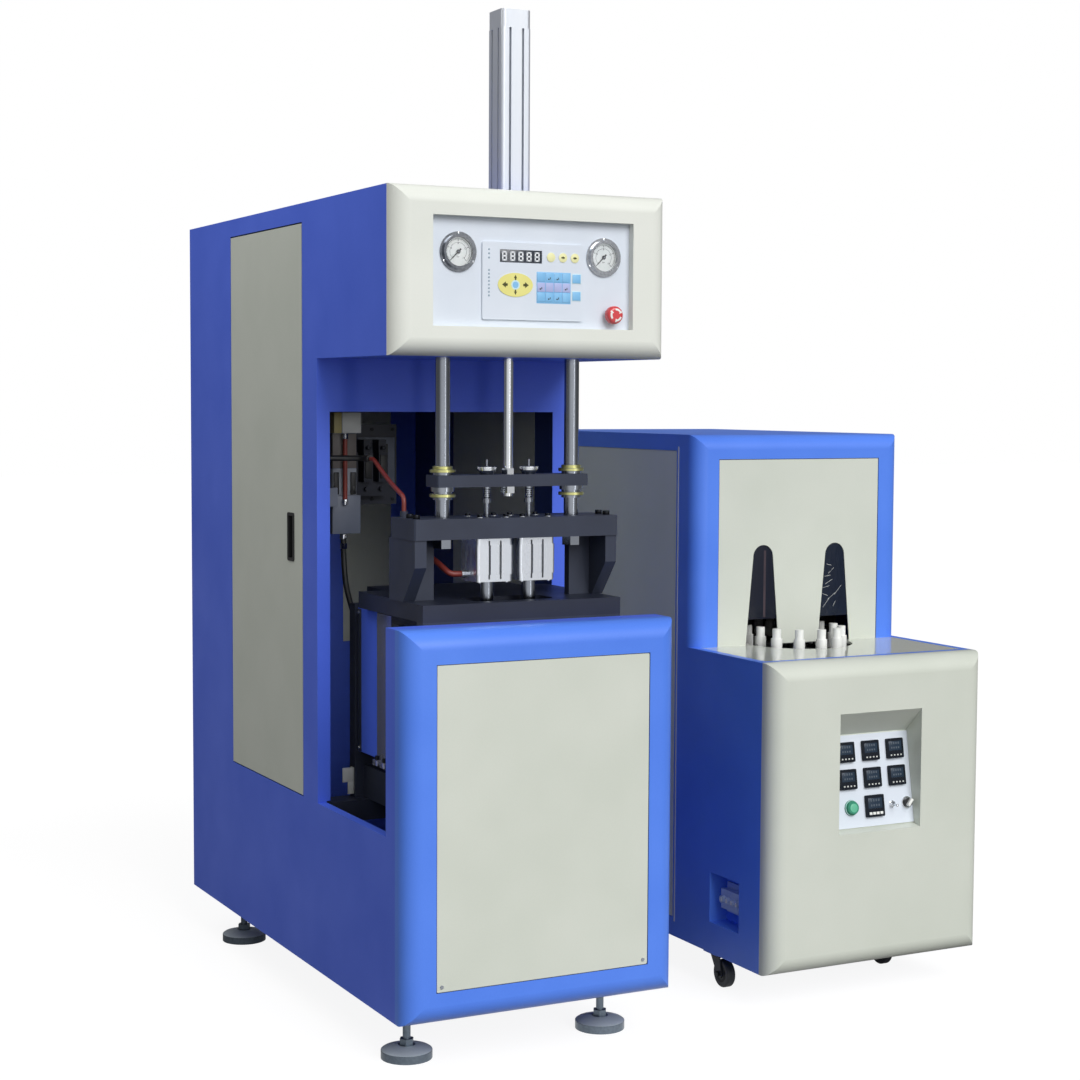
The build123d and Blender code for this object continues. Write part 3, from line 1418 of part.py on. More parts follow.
write("clamp_frame", clamp_frame())
write("mould_front", mould_plate(front_platen_back, axis_y, axis_y, tie_radius))
write("mould_rear", mould_plate(rear_mould_front, moving_platen_front, rear_mould_front, tie_radius + 1))
write("moving_platen", moving_platen())
write("clamp_cylinder", clamp_cylinder())
write("valve_bank", valve_bank())
write("filter_units", filter_units())
write("air_hoses", air_hoses())
write("levelling_feet", levelling_feet())
write("heater_shell", heater_shell())
write("heater_deck", heater_deck())
write("tower_frame", tower_frame())
write("tower_panel", tower_panel())
write("heater_front_cover", heater_front_cover())
write("carrier_chain", carrier_chain())
write("preform_holders", preform_holders())
write("lamp_racks", lamp_racks())
write("control_plate", [control_plate()] + control_rings())
write("temperature_controllers", temperature_controllers())
write("start_button", start_button())
write("selector_knob", selector_knob())
write("toggle_switch", toggle_switch())
write("power_socket", power_socket())
write("heater_side_panel", heater_side_panel())
for place, (castor_x, castor_y) in castor_places().items():
    write("castor_fork_" + place, castor_fork(castor_x, castor_y))
    write("castor_wheel_" + place, castor_wheel(castor_x, castor_y))
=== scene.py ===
"""Looks of the semi-automatic blow moulding machine: a blow station and its preform heater.

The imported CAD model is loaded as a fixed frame. Every sub-assembly class dresses its own CAD nodes
and adds the small things that the solids leave out. Sizes are millimetres in the machine's own
frame: X from the blow station's left face, Y from the front of its lower cover, Z from the floor.
"""

from __future__ import annotations

import json
import logging
import math
from dataclasses import dataclass, field
from enum import Enum
from typing import Iterable, Sequence

import bmesh
import bpy
from mathutils import Matrix, Vector

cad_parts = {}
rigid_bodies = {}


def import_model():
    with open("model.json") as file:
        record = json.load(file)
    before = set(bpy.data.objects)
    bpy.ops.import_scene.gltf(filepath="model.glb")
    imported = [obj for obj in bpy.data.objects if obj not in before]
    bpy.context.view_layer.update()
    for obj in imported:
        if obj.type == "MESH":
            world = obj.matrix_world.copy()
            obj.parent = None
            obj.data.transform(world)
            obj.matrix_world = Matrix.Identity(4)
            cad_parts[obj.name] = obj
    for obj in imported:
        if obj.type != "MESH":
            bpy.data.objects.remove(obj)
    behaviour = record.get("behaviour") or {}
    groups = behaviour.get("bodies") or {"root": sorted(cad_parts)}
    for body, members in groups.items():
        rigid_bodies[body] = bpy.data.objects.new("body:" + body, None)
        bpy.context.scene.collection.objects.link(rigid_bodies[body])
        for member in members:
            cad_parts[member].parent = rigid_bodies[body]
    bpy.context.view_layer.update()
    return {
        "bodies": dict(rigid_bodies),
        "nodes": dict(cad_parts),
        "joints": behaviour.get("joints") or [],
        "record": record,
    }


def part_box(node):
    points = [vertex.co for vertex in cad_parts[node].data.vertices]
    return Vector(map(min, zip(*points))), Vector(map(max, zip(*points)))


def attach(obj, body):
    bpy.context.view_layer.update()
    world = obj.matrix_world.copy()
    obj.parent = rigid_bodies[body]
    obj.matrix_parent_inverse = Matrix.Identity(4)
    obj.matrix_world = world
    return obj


log = logging.getLogger("blow_moulding_machine")

Pair = tuple[float, float]
Triple = tuple[float, float, float]
Outline = tuple[Pair, ...]

MM = 0.001
HEXAGON = 6
BEVEL_STEPS = 2
TYPE_STEPS = 3
SHARP_DEGREES = 35.0

# A finish's pattern: the clouds are BROAD_GRAINS grains wide, and the fine noise counts FINE_SHARE beside
# them. Their sum lies within NOISE_SPAN, and the relief is RELIEF grains high.
BROAD_GRAINS = 60.0
FINE_DETAIL = 3.0
BROAD_DETAIL = 2.0
FINE_SHARE = 0.35
NOISE_SPAN = (0.4, 0.95)
RELIEF = 0.2


class Axis(Enum):
    """The three directions of the machine's frame."""

    X = 0
    Y = 1
    Z = 2


class LampKind(Enum):
    """Blender's types of the studio's lamps."""

    SUN = "SUN"
    AREA = "AREA"


def linear(code: str) -> tuple[float, float, float, float]:
    """Turn an sRGB hex colour into linear RGBA.

    Args:
        code: Colour written as #RRGGBB.

    Returns:
        Linear red, green, blue and an alpha of one.
    """
    channels = [int(code[i:i + 2], 16) / 255 for i in (1, 3, 5)]
    values = [c / 12.92 if c <= 0.04045 else ((c + 0.055) / 1.055) ** 2.4 for c in channels]
    return (values[0], values[1], values[2], 1.0)


def add_node(tree: bpy.types.NodeTree, kind: str, settings: dict[str, object] | None = None,
             inputs: dict[str, object] | None = None) -> bpy.types.Node:
    """Add one node with its settings and links.

    Args:
        tree: Node tree that takes the node.
        kind: Blender's name of the node type.
        settings: Attributes of the node.
        inputs: Values, or sockets to link, by input name.

    Returns:
        The new node.
    """
    node = tree.nodes.new(kind)
    for name, value in (settings or {}).items():
        setattr(node, name, value)
    for name, value in (inputs or {}).items():
        socket = node.inputs[name]
        if isinstance(value, bpy.types.NodeSocket):
            tree.links.new(value, socket)
        else:
            socket.default_value = value
    return node


@dataclass(frozen=True)
class Finish:
    """A surface: what it is made of, and the two tones and the grain that the eye reads.

    Attributes:
        title: What the real surface is and how it was made.
        colour: Its main tone, in sRGB.
        second: The tone that its clouds reach.
        slot: Material slot of the record that it belongs to; not used.
        roughness: Lowest roughness, which roughness_spread is added to.
        grain: Width of its pattern in millimetres.
        stretch: Scale of the pattern along each axis.
        bump: Strength of its relief.
        gloss: Specular level of anything but metal.
        inside: Tone within the box from zone_low to zone_high, in metres of the row frame.
    """

    title: str
    colour: str
    second: str
    slot: str
    roughness: float = 0.4
    roughness_spread: float = 0.08
    metallic: float = 0.0
    grain: float = 2.0
    stretch: Triple = (1.0, 1.0, 1.0)
    bump: float = 0.05
    coat: float = 0.0
    transmission: float = 0.0
    emission: float = 0.0
    gloss: float = 0.5
    inside: str = ""
    zone_low: Triple = (0.0, 0.0, 0.0)
    zone_high: Triple = (0.0, 0.0, 0.0)

    def material(self) -> bpy.types.Material:
        """Build the material once and hand it out after that.

        Returns:
            The material that bears the finish's title.
        """
        found = bpy.data.materials.get(self.title)
        if found is not None:
            return found
        material = bpy.data.materials.new(self.title)
        material.use_nodes = True
        tree = material.node_tree
        shader = tree.nodes["Principled BSDF"]
        shader.inputs["Metallic"].default_value = self.metallic
        shader.inputs["Coat Weight"].default_value = self.coat
        if not self.metallic:
            shader.inputs["Specular IOR Level"].default_value = self.gloss
        shader.inputs["Transmission Weight"].default_value = self.transmission
        self.lay_pattern(tree, shader)
        return material

    def lay_pattern(self, tree: bpy.types.NodeTree, shader: bpy.types.Node) -> None:
        """Drive colour, roughness and relief from one noise at the finish's real grain.

        Args:
            tree: The material's node tree.
            shader: Its principled shader.
        """
        place = add_node(tree, "ShaderNodeTexCoord")
        turned = add_node(tree, "ShaderNodeMapping", {}, {"Vector": place.outputs["Object"],
                                                          "Scale": self.stretch})
        fine = add_node(tree, "ShaderNodeTexNoise", {}, {
            "Vector": turned.outputs["Vector"], "Scale": 1 / (self.grain * MM), "Detail": FINE_DETAIL})
        broad = add_node(tree, "ShaderNodeTexNoise", {}, {
            "Vector": turned.outputs["Vector"], "Scale": 1 / (self.grain * BROAD_GRAINS * MM),
            "Detail": BROAD_DETAIL})
        both = add_node(tree, "ShaderNodeMath", {"operation": "MULTIPLY_ADD"}, {
            0: fine.outputs["Fac"], 1: FINE_SHARE, 2: broad.outputs["Fac"]})
        span = {"Value": both.outputs["Value"], "From Min": NOISE_SPAN[0], "From Max": NOISE_SPAN[1]}
        spread = add_node(tree, "ShaderNodeMapRange", {}, {**span, "To Min": 0.0, "To Max": 1.0})
        tone = add_node(tree, "ShaderNodeMix", {"data_type": "RGBA"}, {
            "Factor": spread.outputs["Result"], "A": linear(self.colour), "B": linear(self.second)})
        rough = add_node(tree, "ShaderNodeMapRange", {}, {
            **span, "To Min": self.roughness, "To Max": self.roughness + self.roughness_spread})
        relief = add_node(tree, "ShaderNodeBump", {}, {
            "Height": fine.outputs["Fac"], "Strength": self.bump, "Distance": RELIEF * self.grain * MM})
        colour = tone.outputs["Result"]
        if self.inside:
            second = add_node(tree, "ShaderNodeMix", {"data_type": "RGBA"}, {
                "Factor": self.zone(tree, place.outputs["Object"]), "A": colour, "B": linear(self.inside)})
            colour = second.outputs["Result"]
        tree.links.new(colour, shader.inputs["Base Color"])
        tree.links.new(rough.outputs["Result"], shader.inputs["Roughness"])
        tree.links.new(relief.outputs["Normal"], shader.inputs["Normal"])
        if self.emission:
            tree.links.new(tone.outputs["Result"], shader.inputs["Emission Color"])
            shader.inputs["Emission Strength"].default_value = self.emission

    def zone(self, tree: bpy.types.NodeTree, where: bpy.types.NodeSocket) -> bpy.types.NodeSocket:
        """Mark what lies inside a box of the row frame, such as the inner faces of a cabinet.

        Args:
            tree: The material's node tree.
            where: Place on the piece, in metres.

        Returns:
            The socket that is one inside the box.
        """
        axes = add_node(tree, "ShaderNodeSeparateXYZ", {}, {"Vector": where})
        level = None
        for name, low, high in zip("XYZ", self.zone_low, self.zone_high):
            for operation, limit in (("GREATER_THAN", low), ("LESS_THAN", high)):
                test = add_node(tree, "ShaderNodeMath", {"operation": operation}, {
                    0: axes.outputs[name], 1: limit}).outputs["Value"]
                level = test if level is None else add_node(
                    tree, "ShaderNodeMath", {"operation": "MULTIPLY"}, {0: level, 1: test}).outputs["Value"]
        return level


@dataclass(frozen=True)
class PowderCoat(Finish):
    """Baked powder coat: a soft gloss over a faint orange peel a few millimetres wide."""

    roughness: float = 0.34
    grain: float = 3.0
    bump: float = 0.06
    gloss: float = 0.3


@dataclass(frozen=True)
class GroundSteel(Finish):
    """Ground or turned steel: long fine scratches that stretch its highlights."""

    metallic: float = 1.0
    roughness: float = 0.2
    roughness_spread: float = 0.06
    grain: float = 3.0
    bump: float = 0.01


@dataclass(frozen=True)
class Moulding(Finish):
    """Moulded plastic or rubber with a fine even grain."""

    grain: float = 0.9
    bump: float = 0.08


# Powder-coated sheet. The baked coat keeps a faint orange peel, drawn 3 mm wide (1.2 to 1.6 mm on the
# smaller plates), a little coarser than the real one, so that it shows.
# Bright blue of the bent frames: soft broad highlights along the rounded noses.
BLUE = PowderCoat("blue_powder_coat", "#5A89F0", "#5180E8", "blue_paint")
# The blue coat on the flat cabinet sheets with its green lowered: a painted violet shade for the sides that
# turn away from the light. Duller, so that they read as even fields of colour.
CABINET_BLUE = PowderCoat("blue_powder_coat_with_painted_violet_shade", "#5575EE", "#4C6CE4", "blue_paint", roughness=0.4)
# The same coat on the folded shell. Its inner faces are painted a dull deep blue as painted shade, as little
# light returns there.
SHELL = PowderCoat("blue_powder_coated_shell_with_painted_shade", "#5575EE", "#4C6CE4", "blue_paint", roughness=0.4,
                   inside="#3C4C86", zone_low=(-0.723, -0.196, 0.1135), zone_high=(-0.126, 0.6565, 1.7235))
# The bright blue coat of the heater's shell, with a pale grey strip on the front of its rim.
HEATER_BLUE = PowderCoat("blue_powder_coated_heater_shell", "#5A89F0", "#5180E8", "blue_paint",
                         inside="#A8ACAA", zone_low=(0.1615, -0.5385, 0.752),
                         zone_high=(0.7245, -0.5305, 0.76))
# Cream of doors and covers: a warm pale field whose shading shows the flat bends.
CREAM = PowderCoat("cream_powder_coat", "#D3D7CD", "#CBD0C5", "cream_paint")
# The cream coat painted paler on the control head, as painted light: the head stands in the full light.
HEAD_CREAM = PowderCoat("cream_powder_coat_painted_lit", "#E7E9E2", "#E0E3DB", "cream_paint")
# Smooth-flowed cream of the deck: a clear upper layer mirrors the holders and the track.
DECK_CREAM = PowderCoat("glossy_cream_powder_coat", "#D6D9D0", "#CDD1C7", "cream_paint", roughness=0.1,
                        coat=0.4)
# Lacquered control plates: cold lilac white with a tighter sheen than the sheets.
PANEL = PowderCoat("lilac_white_lacquered_plate", "#DDE4EE", "#D6DEE9", "panel_white", roughness=0.3,
                   grain=1.2)
# Painted machined plates: blue-grey, matt, with soft edges of light only. The same slate is painted shade
# along the moving platen's rear edge.
SLATE = PowderCoat("slate_grey_powder_coat_and_painted_shade", "#343A4A", "#2D3240", "dark_steel", roughness=0.42, grain=1.6)
# The slate coat painted darker on the table and the valve plate: painted shade that keeps the bay deep.
TABLE = PowderCoat("slate_powder_coat_painted_shade", "#262B3A", "#202432", "dark_steel", roughness=0.4, grain=1.6)

# Bare and plated metal. Real scratches are hundredths of a millimetre wide and wouldn't show, so
# the pattern is drawn 3 to 7 mm wide, as the cloudy streaks that the eye reads on such pieces.
# Centreless-ground rods and nozzles: narrow bright and dark bands along the round.
STEEL = GroundSteel("ground_steel", "#9A9FA8", "#888D96", "bright_steel", roughness=0.12)
# Cast pads: blotched dark grey, half dull.
FOOT = GroundSteel("blotched_dark_cast_steel", "#7C8894", "#46515C", "bright_steel", roughness=0.3, metallic=0.7,
                   grain=6.0)
# Pressed and plated gauge cases: the sharp streaks, white beside almost black, are painted reflections drawn
# into the chrome's colour.
CHROME_WITH_PAINTED_STREAKS = GroundSteel("pressed_chrome_painted_reflection_streaks", "#D2D6DC", "#50555E", "chrome", roughness=0.1,
                          grain=7.0)
# Pad tops: an even, dull pale grey laid over the dark pads, painted light where the light from above falls.
PAINTED_LIT_FOOT_TOP = GroundSteel("pad_top_painted_light", "#CAD4D9", "#B4BFC6", "bright_steel", roughness=0.4, metallic=0.3)
# Plated and polished screws and rod: small sharp mirrors.
CHROME = GroundSteel("polished_chrome", "#DDE0E4", "#CDD1D6", "chrome", roughness=0.07, bump=0.02)
# Extruded tube: satin, with die lines that run along it.
PROFILE = GroundSteel("extruded_aluminium", "#D9DDE3", "#CBD0D8", "aluminium", roughness=0.34,
                      metallic=0.6, stretch=(6.0, 6.0, 0.15))
# Clear-anodised extrusion: the same lines under a brighter, more metallic satin.
BLOW_PROFILE = GroundSteel("clear_anodised_aluminium", "#D9DDE3", "#CBD0D8", "aluminium", roughness=0.24,
                           metallic=0.9, stretch=(6.0, 6.0, 0.15))
# Chemically blackened screws: near black, with a dull metal edge.
BLACK_OXIDE = GroundSteel("black_oxide_steel", "#2A2C30", "#1F2125", "dark_steel", roughness=0.38)
# Milled and polished mould blocks: a metal tinted cool lilac as a painted reflection of the blue beside it;
# it also takes up the colours beside it.
MOULD = GroundSteel("polished_mould_aluminium_painted_blue_reflection", "#C3C6D4", "#B0B3C6", "aluminium", metallic=0.8)
# Zinc plate passivated yellow: a greenish straw colour on the rings.
YELLOW_ZINC = GroundSteel("yellow_passivated_zinc", "#CFCE8E", "#BDBB78", "brass", roughness=0.28)
# Pressed and brightened reflectors of the lamps: dim, as they hang inside the oven.
LAMP = GroundSteel("pressed_lamp_reflector", "#8D8F94", "#7B7E84", "lamp_metal")

# Films behind the slots and on the track. Their relief follows the creases, 8 to 9 mm apart.
# Crumpled by hand: many small glints in a blue black.
CRUMPLED_FILM = Moulding("crumpled_dark_film", "#161D2C", "#1F2839", "black_plastic", roughness=0.1,
                         grain=8.0, bump=1.0, stretch=(1.0, 1.0, 0.6), gloss=0.2)
# Hung smooth: upright soft pleats.
SMOOTH_FILM = Moulding("smooth_dark_film", "#211E26", "#171D2B", "black_plastic", roughness=0.16, grain=9.0,
                       stretch=(1.0, 1.0, 0.06), bump=0.3, gloss=0.2)
# A painted reflection on the smooth film: one brown line of sheen.
FILM_REFLECTION = Moulding("brown_film_painted_reflection", "#4A3F45", "#3A343C", "black_plastic", roughness=0.16, gloss=0.2)
# Wrinkled foil of the chain's track: black with sharp scattered glints.
BLACK_FOIL = Moulding("black_crumpled_foil", "#0B0C0F", "#15161B", "black_plastic", roughness=0.12,
                      grain=9.0, bump=0.9)

# Moulded plastic and rubber. The tool's spark-eroded grain is a tenth of a millimetre, drawn 0.9 mm
# wide: it breaks the highlight softly and leaves the colour even.
# Black ABS: a deep matt black for handle, knob and needles. The same black is painted shade in the valve
# plate's slots.
BLACK = Moulding("moulded_black_abs_and_painted_slot_shade", "#16171A", "#101114", "black_plastic", roughness=0.45)
# Dark blue ABS: nearly black, the blue shows only in the light.
CONTROLLER = Moulding("moulded_dark_blue_abs", "#141A24", "#10151E", "dark_blue_plastic", roughness=0.38,
                      gloss=0.15)
# Tinted acrylic of the controllers: a step brighter and smoother than the case round it.
CONTROL_WINDOW = Moulding("moulded_dark_blue_acrylic", "#2C3A4A", "#263342", "dark_blue_plastic",
                          roughness=0.2, gloss=0.25)
# Smoked acrylic over the display: a smooth dark pane.
WINDOW = Moulding("moulded_smoked_acrylic", "#3B404A", "#31363F", "dark_blue_plastic", roughness=0.16)
# Polished red ABS: a glossy skin with one clear highlight.
RED = Moulding("moulded_red_abs", "#D9474B", "#CE3B41", "red_plastic", roughness=0.25, coat=0.3)
# Polished green ABS: as glossy as the red.
GREEN = Moulding("moulded_green_abs", "#2C9474", "#258366", "green_plastic", roughness=0.25, coat=0.3)
# Green polycarbonate lens of the start button: paler, as light comes through it.
GREEN_LENS = Moulding("moulded_green_polycarbonate", "#6CC3A0", "#5DB592", "green_plastic", roughness=0.25,
                      coat=0.3)
# Grey polycarbonate of the small lamps: smooth, with a point of light each.
LAMP_LENS = Moulding("moulded_grey_polycarbonate", "#9DB0BE", "#8FA3B2", "grey_plastic", roughness=0.2)
# White nylon: the brightest plastic, slightly soft.
WHITE = Moulding("moulded_white_nylon", "#F0F1EE", "#E6E8E4", "white_plastic")
# Light grey nylon of the filter's body.
GREY = Moulding("moulded_light_grey_nylon", "#9CA2AC", "#8D939D", "grey_plastic", roughness=0.42)
# Blue-grey nylon of the filter's box and of the valve plate: one step darker.
BLUE_GREY = Moulding("moulded_blue_grey_nylon", "#6F7686", "#646B7B", "grey_plastic", roughness=0.42)
# Brown-grey nylon sleeve: warm between the greys.
TAUPE = Moulding("moulded_brown_grey_nylon", "#6C6662", "#605A57", "grey_plastic")
# Khaki nylon on the side of the filter's head.
KHAKI = Moulding("moulded_khaki_nylon", "#B3A770", "#A49862", "white_plastic")
# Pale grey nylon of keys, the filter's head and the switch bracket; the same pale tone is a painted
# highlight on the heater side panel's edge and on the film's creases.
PALE = Moulding("pale_grey_nylon_and_painted_highlights", "#D3D5D2", "#C6C9C6", "white_plastic")
# Light blue ABS of the connector, painted paler as painted light in its shaded recess, as if lit from the
# side.
SOCKET = Moulding("moulded_blue_abs_painted_pale_light", "#C4D4EC", "#B6C8E2", "grey_plastic", roughness=0.42)
# Rubber of castors: soft dark grey without a clear highlight.
TYRE = Moulding("moulded_tyre_rubber", "#1B1E24", "#23272E", "castor_rubber", roughness=0.5)
# Extruded polyurethane hose, dyed red brown: satin; the runs inside the cabinet are black.
RED_HOSE = Moulding("extruded_red_brown_polyurethane", "#7E3029", "#6C2822", "red_hose",
                    inside="#16171A", zone_low=(-2.0, -0.2185, 0.0), zone_high=(2.0, 2.0, 3.0))
# The same tube in front of the filter, painted a lighter red as painted light, where more light falls on it.
RED_TUBE = Moulding("extruded_red_brown_polyurethane_painted_lit", "#8C3A30", "#7A2F28", "red_hose")

# Polyester key films, printed from behind: flat clean colour under a satin skin.
ROUND_YELLOW = Moulding("pale_yellow_polyester_film", "#EDEBB4", "#E6E3A6", "panel_white")
KEY_YELLOW = Moulding("yellow_polyester_film", "#E9E38C", "#E0D97C", "panel_white")
KEY_BLUE = Moulding("blue_polyester_film", "#86C2EC", "#79B6E4", "panel_white")
KEY_PALE = Moulding("pale_blue_polyester_film", "#CDE8EE", "#C0DEE6", "panel_white")
KEY_LILAC = Moulding("lilac_polyester_film", "#B3BCE6", "#A8B1DD", "panel_white")
# Screen-printed ink: matt, almost black; the olive one stands on the yellow films. The same black is painted
# shade in screw sockets, cylinder grooves and panel gaps.
INK = Moulding("dark_ink_and_painted_shade", "#2B3036", "#22262B", "black_plastic", roughness=0.5)
OLIVE_INK = Moulding("screen_printed_olive_ink", "#4A4B16", "#3E3F10", "black_plastic", roughness=0.5)
# Diffusing segments of the display: they glow a little beside the smoked pane.
DIGIT = Moulding("lit_diffuser_segment", "#E9ECEF", "#DADEE2", "white_plastic", emission=0.1)
# Unlit segments of the controllers: grey on the dark pane.
READING = Moulding("unlit_diffuser_segment", "#46525F", "#3E4955", "grey_plastic")
# Baked enamel of the dials: clean white that carries the fine scale.
ENAMEL = Moulding("white_dial_enamel", "#F4F5F2", "#ECEEEA", "white_plastic", roughness=0.3)
# Float glass of the gauges: clear and flat, seen only by its reflections.
GLASS = Finish("clear_float_glass", "#FFFFFF", "#F7FBFF", "glass", roughness=0.02, roughness_spread=0.01,
               transmission=1.0, bump=0.0)

NODES_BY_FINISH: tuple[tuple[Finish, str], ...] = (
    (SHELL, "cabinet_shell"), (BLUE, "cover_frame tower_frame"), (HEATER_BLUE, "heater_shell"),
    (CREAM, "cabinet_side_panel cabinet_door cover_panel heater_front_cover tower_panel heater_side_panel"),
    (DECK_CREAM, "heater_deck"), (HEAD_CREAM, "head_frame"), (PANEL, "head_panel keypad_unit control_plate"),
    (SLATE, "head_beam bridge_legs bridge_plate carriage_plate clamp_frame"),
    (TABLE, "bay_table valve_bank"), (CABINET_BLUE, "moving_platen"),
    (STEEL, "guide_columns stretch_rods blow_nozzle_left blow_nozzle_right carriage_bushes panel_screws"),
    (CHROME, "piston_rod toggle_switch"), (CHROME_WITH_PAINTED_STREAKS, "gauge_cases"), (FOOT, "levelling_feet"),
    (PROFILE, "stretch_cylinder clamp_cylinder"), (BLOW_PROFILE, "blow_cylinders"),
    (MOULD, "mould_front mould_rear"), (BLACK_FOIL, "carrier_chain"),
    (BLACK, "door_handle selector_knob gauge_needle_left gauge_needle_right"),
    (CONTROLLER, "temperature_controllers"), (GREEN, "start_button"), (RED, "stop_button"),
    (WHITE, "preform_holders"), (BLUE_GREY, "filter_units"), (SOCKET, "power_socket"),
    (GLASS, "gauge_lenses"), (RED_HOSE, "air_hoses"), (LAMP, "lamp_racks"),
    (TYRE, "castor_fork_front_left castor_fork_front_right castor_fork_back_left castor_fork_back_right"),
    (TYRE, "castor_wheel_front_left castor_wheel_front_right"),
    (TYRE, "castor_wheel_back_left castor_wheel_back_right"),
)
NODE_FINISH = {name: finish for finish, names in NODES_BY_FINISH for name in names.split()}


@dataclass
class Station:
    """The machine's frame: millimetres from the blow station's left, front and floor."""

    left: float = field(init=False)
    front: float = field(init=False)

    def __post_init__(self) -> None:
        """Read the frame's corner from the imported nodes."""
        self.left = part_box("cabinet_shell")[0].x
        self.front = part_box("cover_frame")[0].y

    def matrix(self) -> Matrix:
        """Give the transform from machine millimetres to metres in the row frame."""
        return Matrix.Translation((self.left, self.front, 0.0)) @ Matrix.Scale(MM, 4)


# Turns that lay a shape's own Z axis along one of the machine's directions.
TURNS = {Axis.X: Matrix.Rotation(math.pi / 2, 4, "Y"), Axis.Y: Matrix.Rotation(-math.pi / 2, 4, "X"),
         Axis.Z: Matrix.Identity(4)}


def raised(outline: Outline, height: float) -> list[Pair]:
    """Lift a turned outline along its axis."""
    return [(radius, at + height) for radius, at in outline]


class Shape:
    """A mesh under construction, in machine millimetres, made with bmesh operators."""

    def __init__(self, station: Station, place: Matrix | None = None) -> None:
        """Start an empty mesh.

        Args:
            station: The machine's frame.
            place: Where the shape's own axes stand in the machine's frame.
        """
        self.station = station
        self.place = place or Matrix.Identity(4)
        self.mesh = bmesh.new()

    def _bevel(self, edges: Iterable[bmesh.types.BMEdge], size: float) -> None:
        """Round the given edges when the size asks for it.

        Args:
            edges: Edges of the mesh.
            size: Width of the rounding, or zero for none.
        """
        if size > 0:
            bmesh.ops.bevel(self.mesh, geom=list(edges), offset=size, segments=BEVEL_STEPS,
                            affect="EDGES", profile=0.5, material=-1)

    def slab(self, low: Sequence[float], high: Sequence[float], bevel: float = 0.0,
             turn: Matrix | None = None) -> "Shape":
        """Add a box between two corners.

        Args:
            low: Lowest corner.
            high: Highest corner.
            bevel: Size of its rounded edges.
            turn: Turn about the box's own centre.

        Returns:
            The shape itself.
        """
        first, last = Vector(low), Vector(high)
        centre = (first + last) / 2
        size = last - first
        matrix = self.place @ Matrix.Translation(centre) @ (turn or Matrix.Identity(4)) @ Matrix.Diagonal(
            (size.x, size.y, size.z, 1.0))
        made = bmesh.ops.create_cube(self.mesh, size=1.0, matrix=matrix)
        edges = {edge for vert in made["verts"] for edge in vert.link_edges}
        self._bevel(edges, bevel)
        return self

    def rod(self, start: Sequence[float], length: float, radius: float, axis: Axis = Axis.Z,
            sides: int = 32, bevel: float = 0.0) -> "Shape":
        """Add a round bar from a point along one axis.

        Args:
            start: Middle of its first end.
            length: Length along the axis.
            radius: Radius of the bar.
            axis: Direction of the bar.
            sides: Number of sides.
            bevel: Size of its rounded end edges.

        Returns:
            The shape itself.
        """
        matrix = self.place @ Matrix.Translation(Vector(start)) @ TURNS[axis] @ Matrix.Translation(
            (0, 0, length / 2))
        made = bmesh.ops.create_cone(self.mesh, cap_ends=True, cap_tris=False, segments=sides,
                                     radius1=radius, radius2=radius, depth=length, matrix=matrix)
        caps = {face for vert in made["verts"] for face in vert.link_faces if len(face.verts) == sides}
        self._bevel({edge for face in caps for edge in face.edges}, bevel)
        return self

    def lathe(self, centre: Sequence[float], outline: Sequence[Pair], axis: Axis = Axis.Z,
              sides: int = 48, degrees: float = 360.0, begin: float = 0.0) -> "Shape":
        """Spin a closed (radius, height) outline about an axis through a centre.

        Args:
            centre: Point on the axis at height zero.
            outline: Corners of the section.
            axis: Direction of the axis.
            sides: Steps of the spin.
            degrees: Angle that is swept.
            begin: Angle at which the sweep starts.

        Returns:
            The shape itself.
        """
        matrix = self.place @ Matrix.Translation(Vector(centre)) @ TURNS[axis] @ Matrix.Rotation(
            math.radians(begin), 4, "Z")
        verts = [self.mesh.verts.new(matrix @ Vector((radius, 0.0, height))) for radius, height in outline]
        ring = self.mesh.faces.new(verts)
        full = abs(degrees) >= 360.0
        turn = bmesh.ops.spin(self.mesh, geom=[ring, *ring.edges, *ring.verts], angle=math.radians(degrees),
                              steps=sides, use_merge=full, use_duplicate=False,
                              axis=(matrix.to_3x3() @ Vector((0, 0, 1))).normalized(),
                              cent=matrix.translation)
        if full:
            faces = [item for item in turn["geom_last"] if isinstance(item, bmesh.types.BMFace)]
            bmesh.ops.delete(self.mesh, geom=faces, context="FACES_ONLY")
        return self

    def plate(self, outline: Sequence[Pair], depth: float, height: float,
              axis: Axis = Axis.Y, bevel: float = 0.0) -> "Shape":
        """Extrude a flat outline.

        Args:
            outline: Corners in the two other directions, in order of axis name.
            depth: Where the outline lies along the axis.
            height: Thickness along the axis.
            axis: Direction of the extrusion.
            bevel: Size of its rounded edges.

        Returns:
            The shape itself.
        """
        corners = []
        for a, b in outline:
            point = [a, b]
            point.insert(axis.value, depth)
            corners.append(self.mesh.verts.new(self.place @ Vector(point)))
        face = self.mesh.faces.new(corners)
        push = Vector((0.0, 0.0, 0.0))
        push[axis.value] = height
        made = bmesh.ops.extrude_face_region(self.mesh, geom=[face])
        moved = [item for item in made["geom"] if isinstance(item, bmesh.types.BMVert)]
        bmesh.ops.translate(self.mesh, verts=moved, vec=self.place.to_3x3() @ push)
        self._bevel({edge for vert in corners + moved for edge in vert.link_edges}, bevel)
        return self

